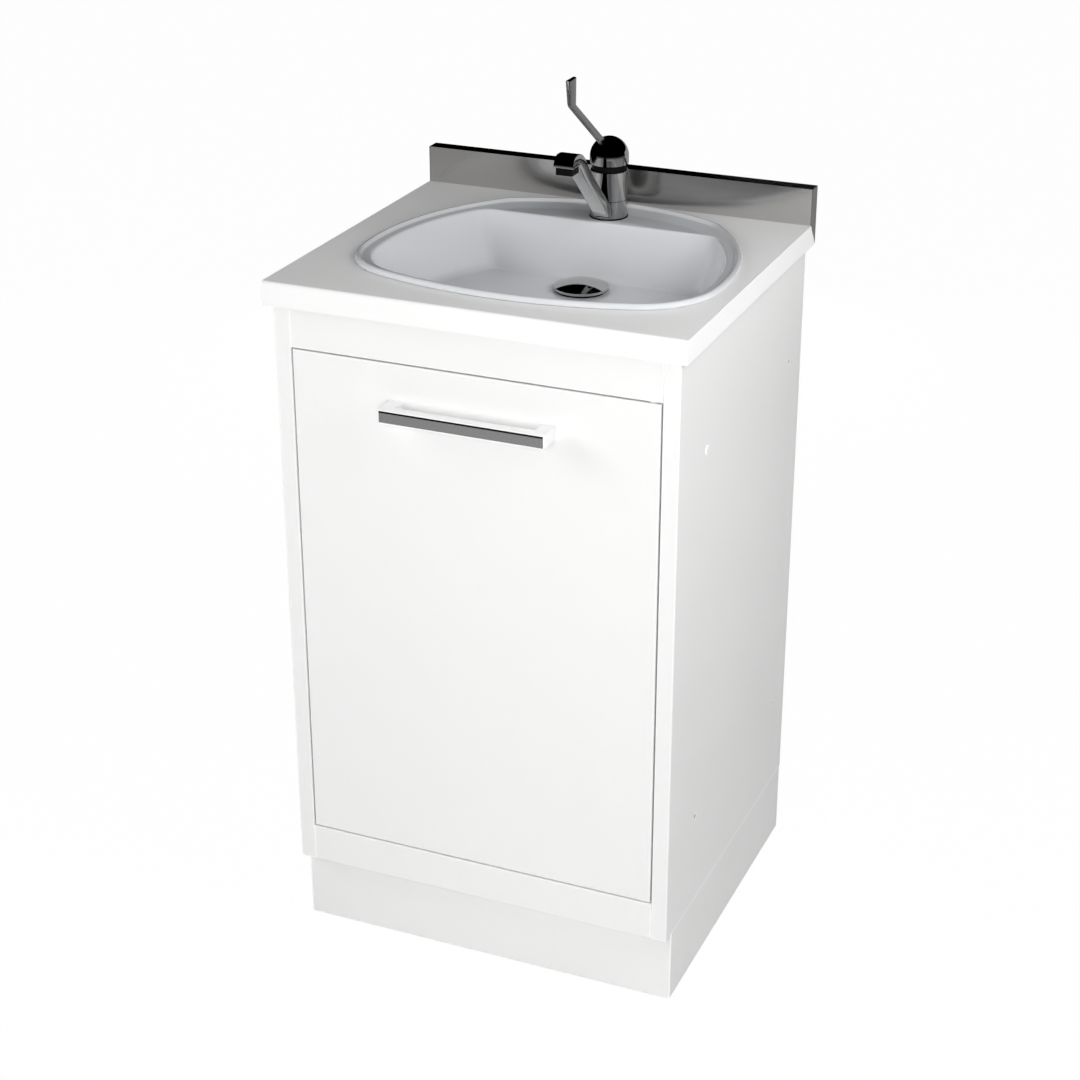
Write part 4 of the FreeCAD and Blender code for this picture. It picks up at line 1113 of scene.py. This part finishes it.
# Name, place, the point it aims at and the setting with its power.
LAMPS = (("lamp_front", (0.48, -1.92, 1.13), (0, 0, 0.85), "front"),
         ("lamp_right", (0.97, -0.17, 1.59), (0, 0, 0.9), "right"),
         ("lamp_right_far", (1.3, -0.2, 1.35), (0, 0, 0.85), "right_far"),
         ("lamp_left", (-1.55, -1.0, 1.62), (0, 0, 0.88), "left"),
         ("lamp_rear", (-0.9, 2.3, 0.55), (0, 0, 0.45), "rear"),
         ("lamp_side", (-2.4, 0.3, 0.6), (0, 0, 0.5), "side"))


class SINK_OT_stage(PieceMaker, bpy.types.Operator):
    """Set the floor, the dark screens, the lamps and the camera"""
    bl_idname = "sink.stage"
    bl_label = "Stage"

    def execute(self, context):
        s = context.scene.sink_stage
        pale_floor()
        dark_screens()
        for name, place, aim, setting in LAMPS:
            lamp(name, place, aim, getattr(s, setting))
        context.scene.world = studio_world(s.sky)
        context.scene.camera = photo_camera(s)
        context.scene.view_settings.view_transform = "Standard"
        return {"FINISHED"}


PIECES = (SINK_OT_finishes, SINK_OT_stage, SINK_OT_body, SINK_OT_door, SINK_OT_handle, SINK_OT_worktop,
          SINK_OT_basin, SINK_OT_waste, SINK_OT_tap, SINK_OT_lever)
GROUPS = (("sink_basin", BasinSizes), ("sink_tap", TapSizes), ("sink_colours", FinishColours),
          ("sink_stage", StageSettings))


class SINK_PT_panel(bpy.types.Panel):
    """Sizes, colours and makers of the sink cabinet"""
    bl_idname = "SINK_PT_panel"
    bl_label = "Sink cabinet"
    bl_space_type = "VIEW_3D"
    bl_region_type = "UI"
    bl_category = "Sink cabinet"

    def draw(self, context):
        for piece in PIECES:
            self.layout.operator(piece.bl_idname)
        for name, group in GROUPS:
            box = self.layout.box()
            for field in group.__annotations__:
                box.prop(getattr(context.scene, name), field)


CLASSES = tuple(group for _, group in GROUPS) + PIECES + (SINK_PT_panel,)


def register():
    for kind in CLASSES:
        bpy.utils.register_class(kind)
    for name, group in GROUPS:
        setattr(bpy.types.Scene, name, PointerProperty(type=group))


def unregister():
    for name, _ in GROUPS:
        delattr(bpy.types.Scene, name)
    for kind in reversed(CLASSES):
        bpy.utils.unregister_class(kind)


def main():
    register()
    bpy.ops.sink.finishes()
    bpy.ops.sink.stage()
    bpy.ops.sink.body()
    bpy.ops.sink.door()
    bpy.ops.sink.handle()
    bpy.ops.sink.worktop()
    bpy.ops.sink.basin()
    bpy.ops.sink.waste()
    bpy.ops.sink.tap()
    bpy.ops.sink.lever()


if __name__ == "__main__":
    main()
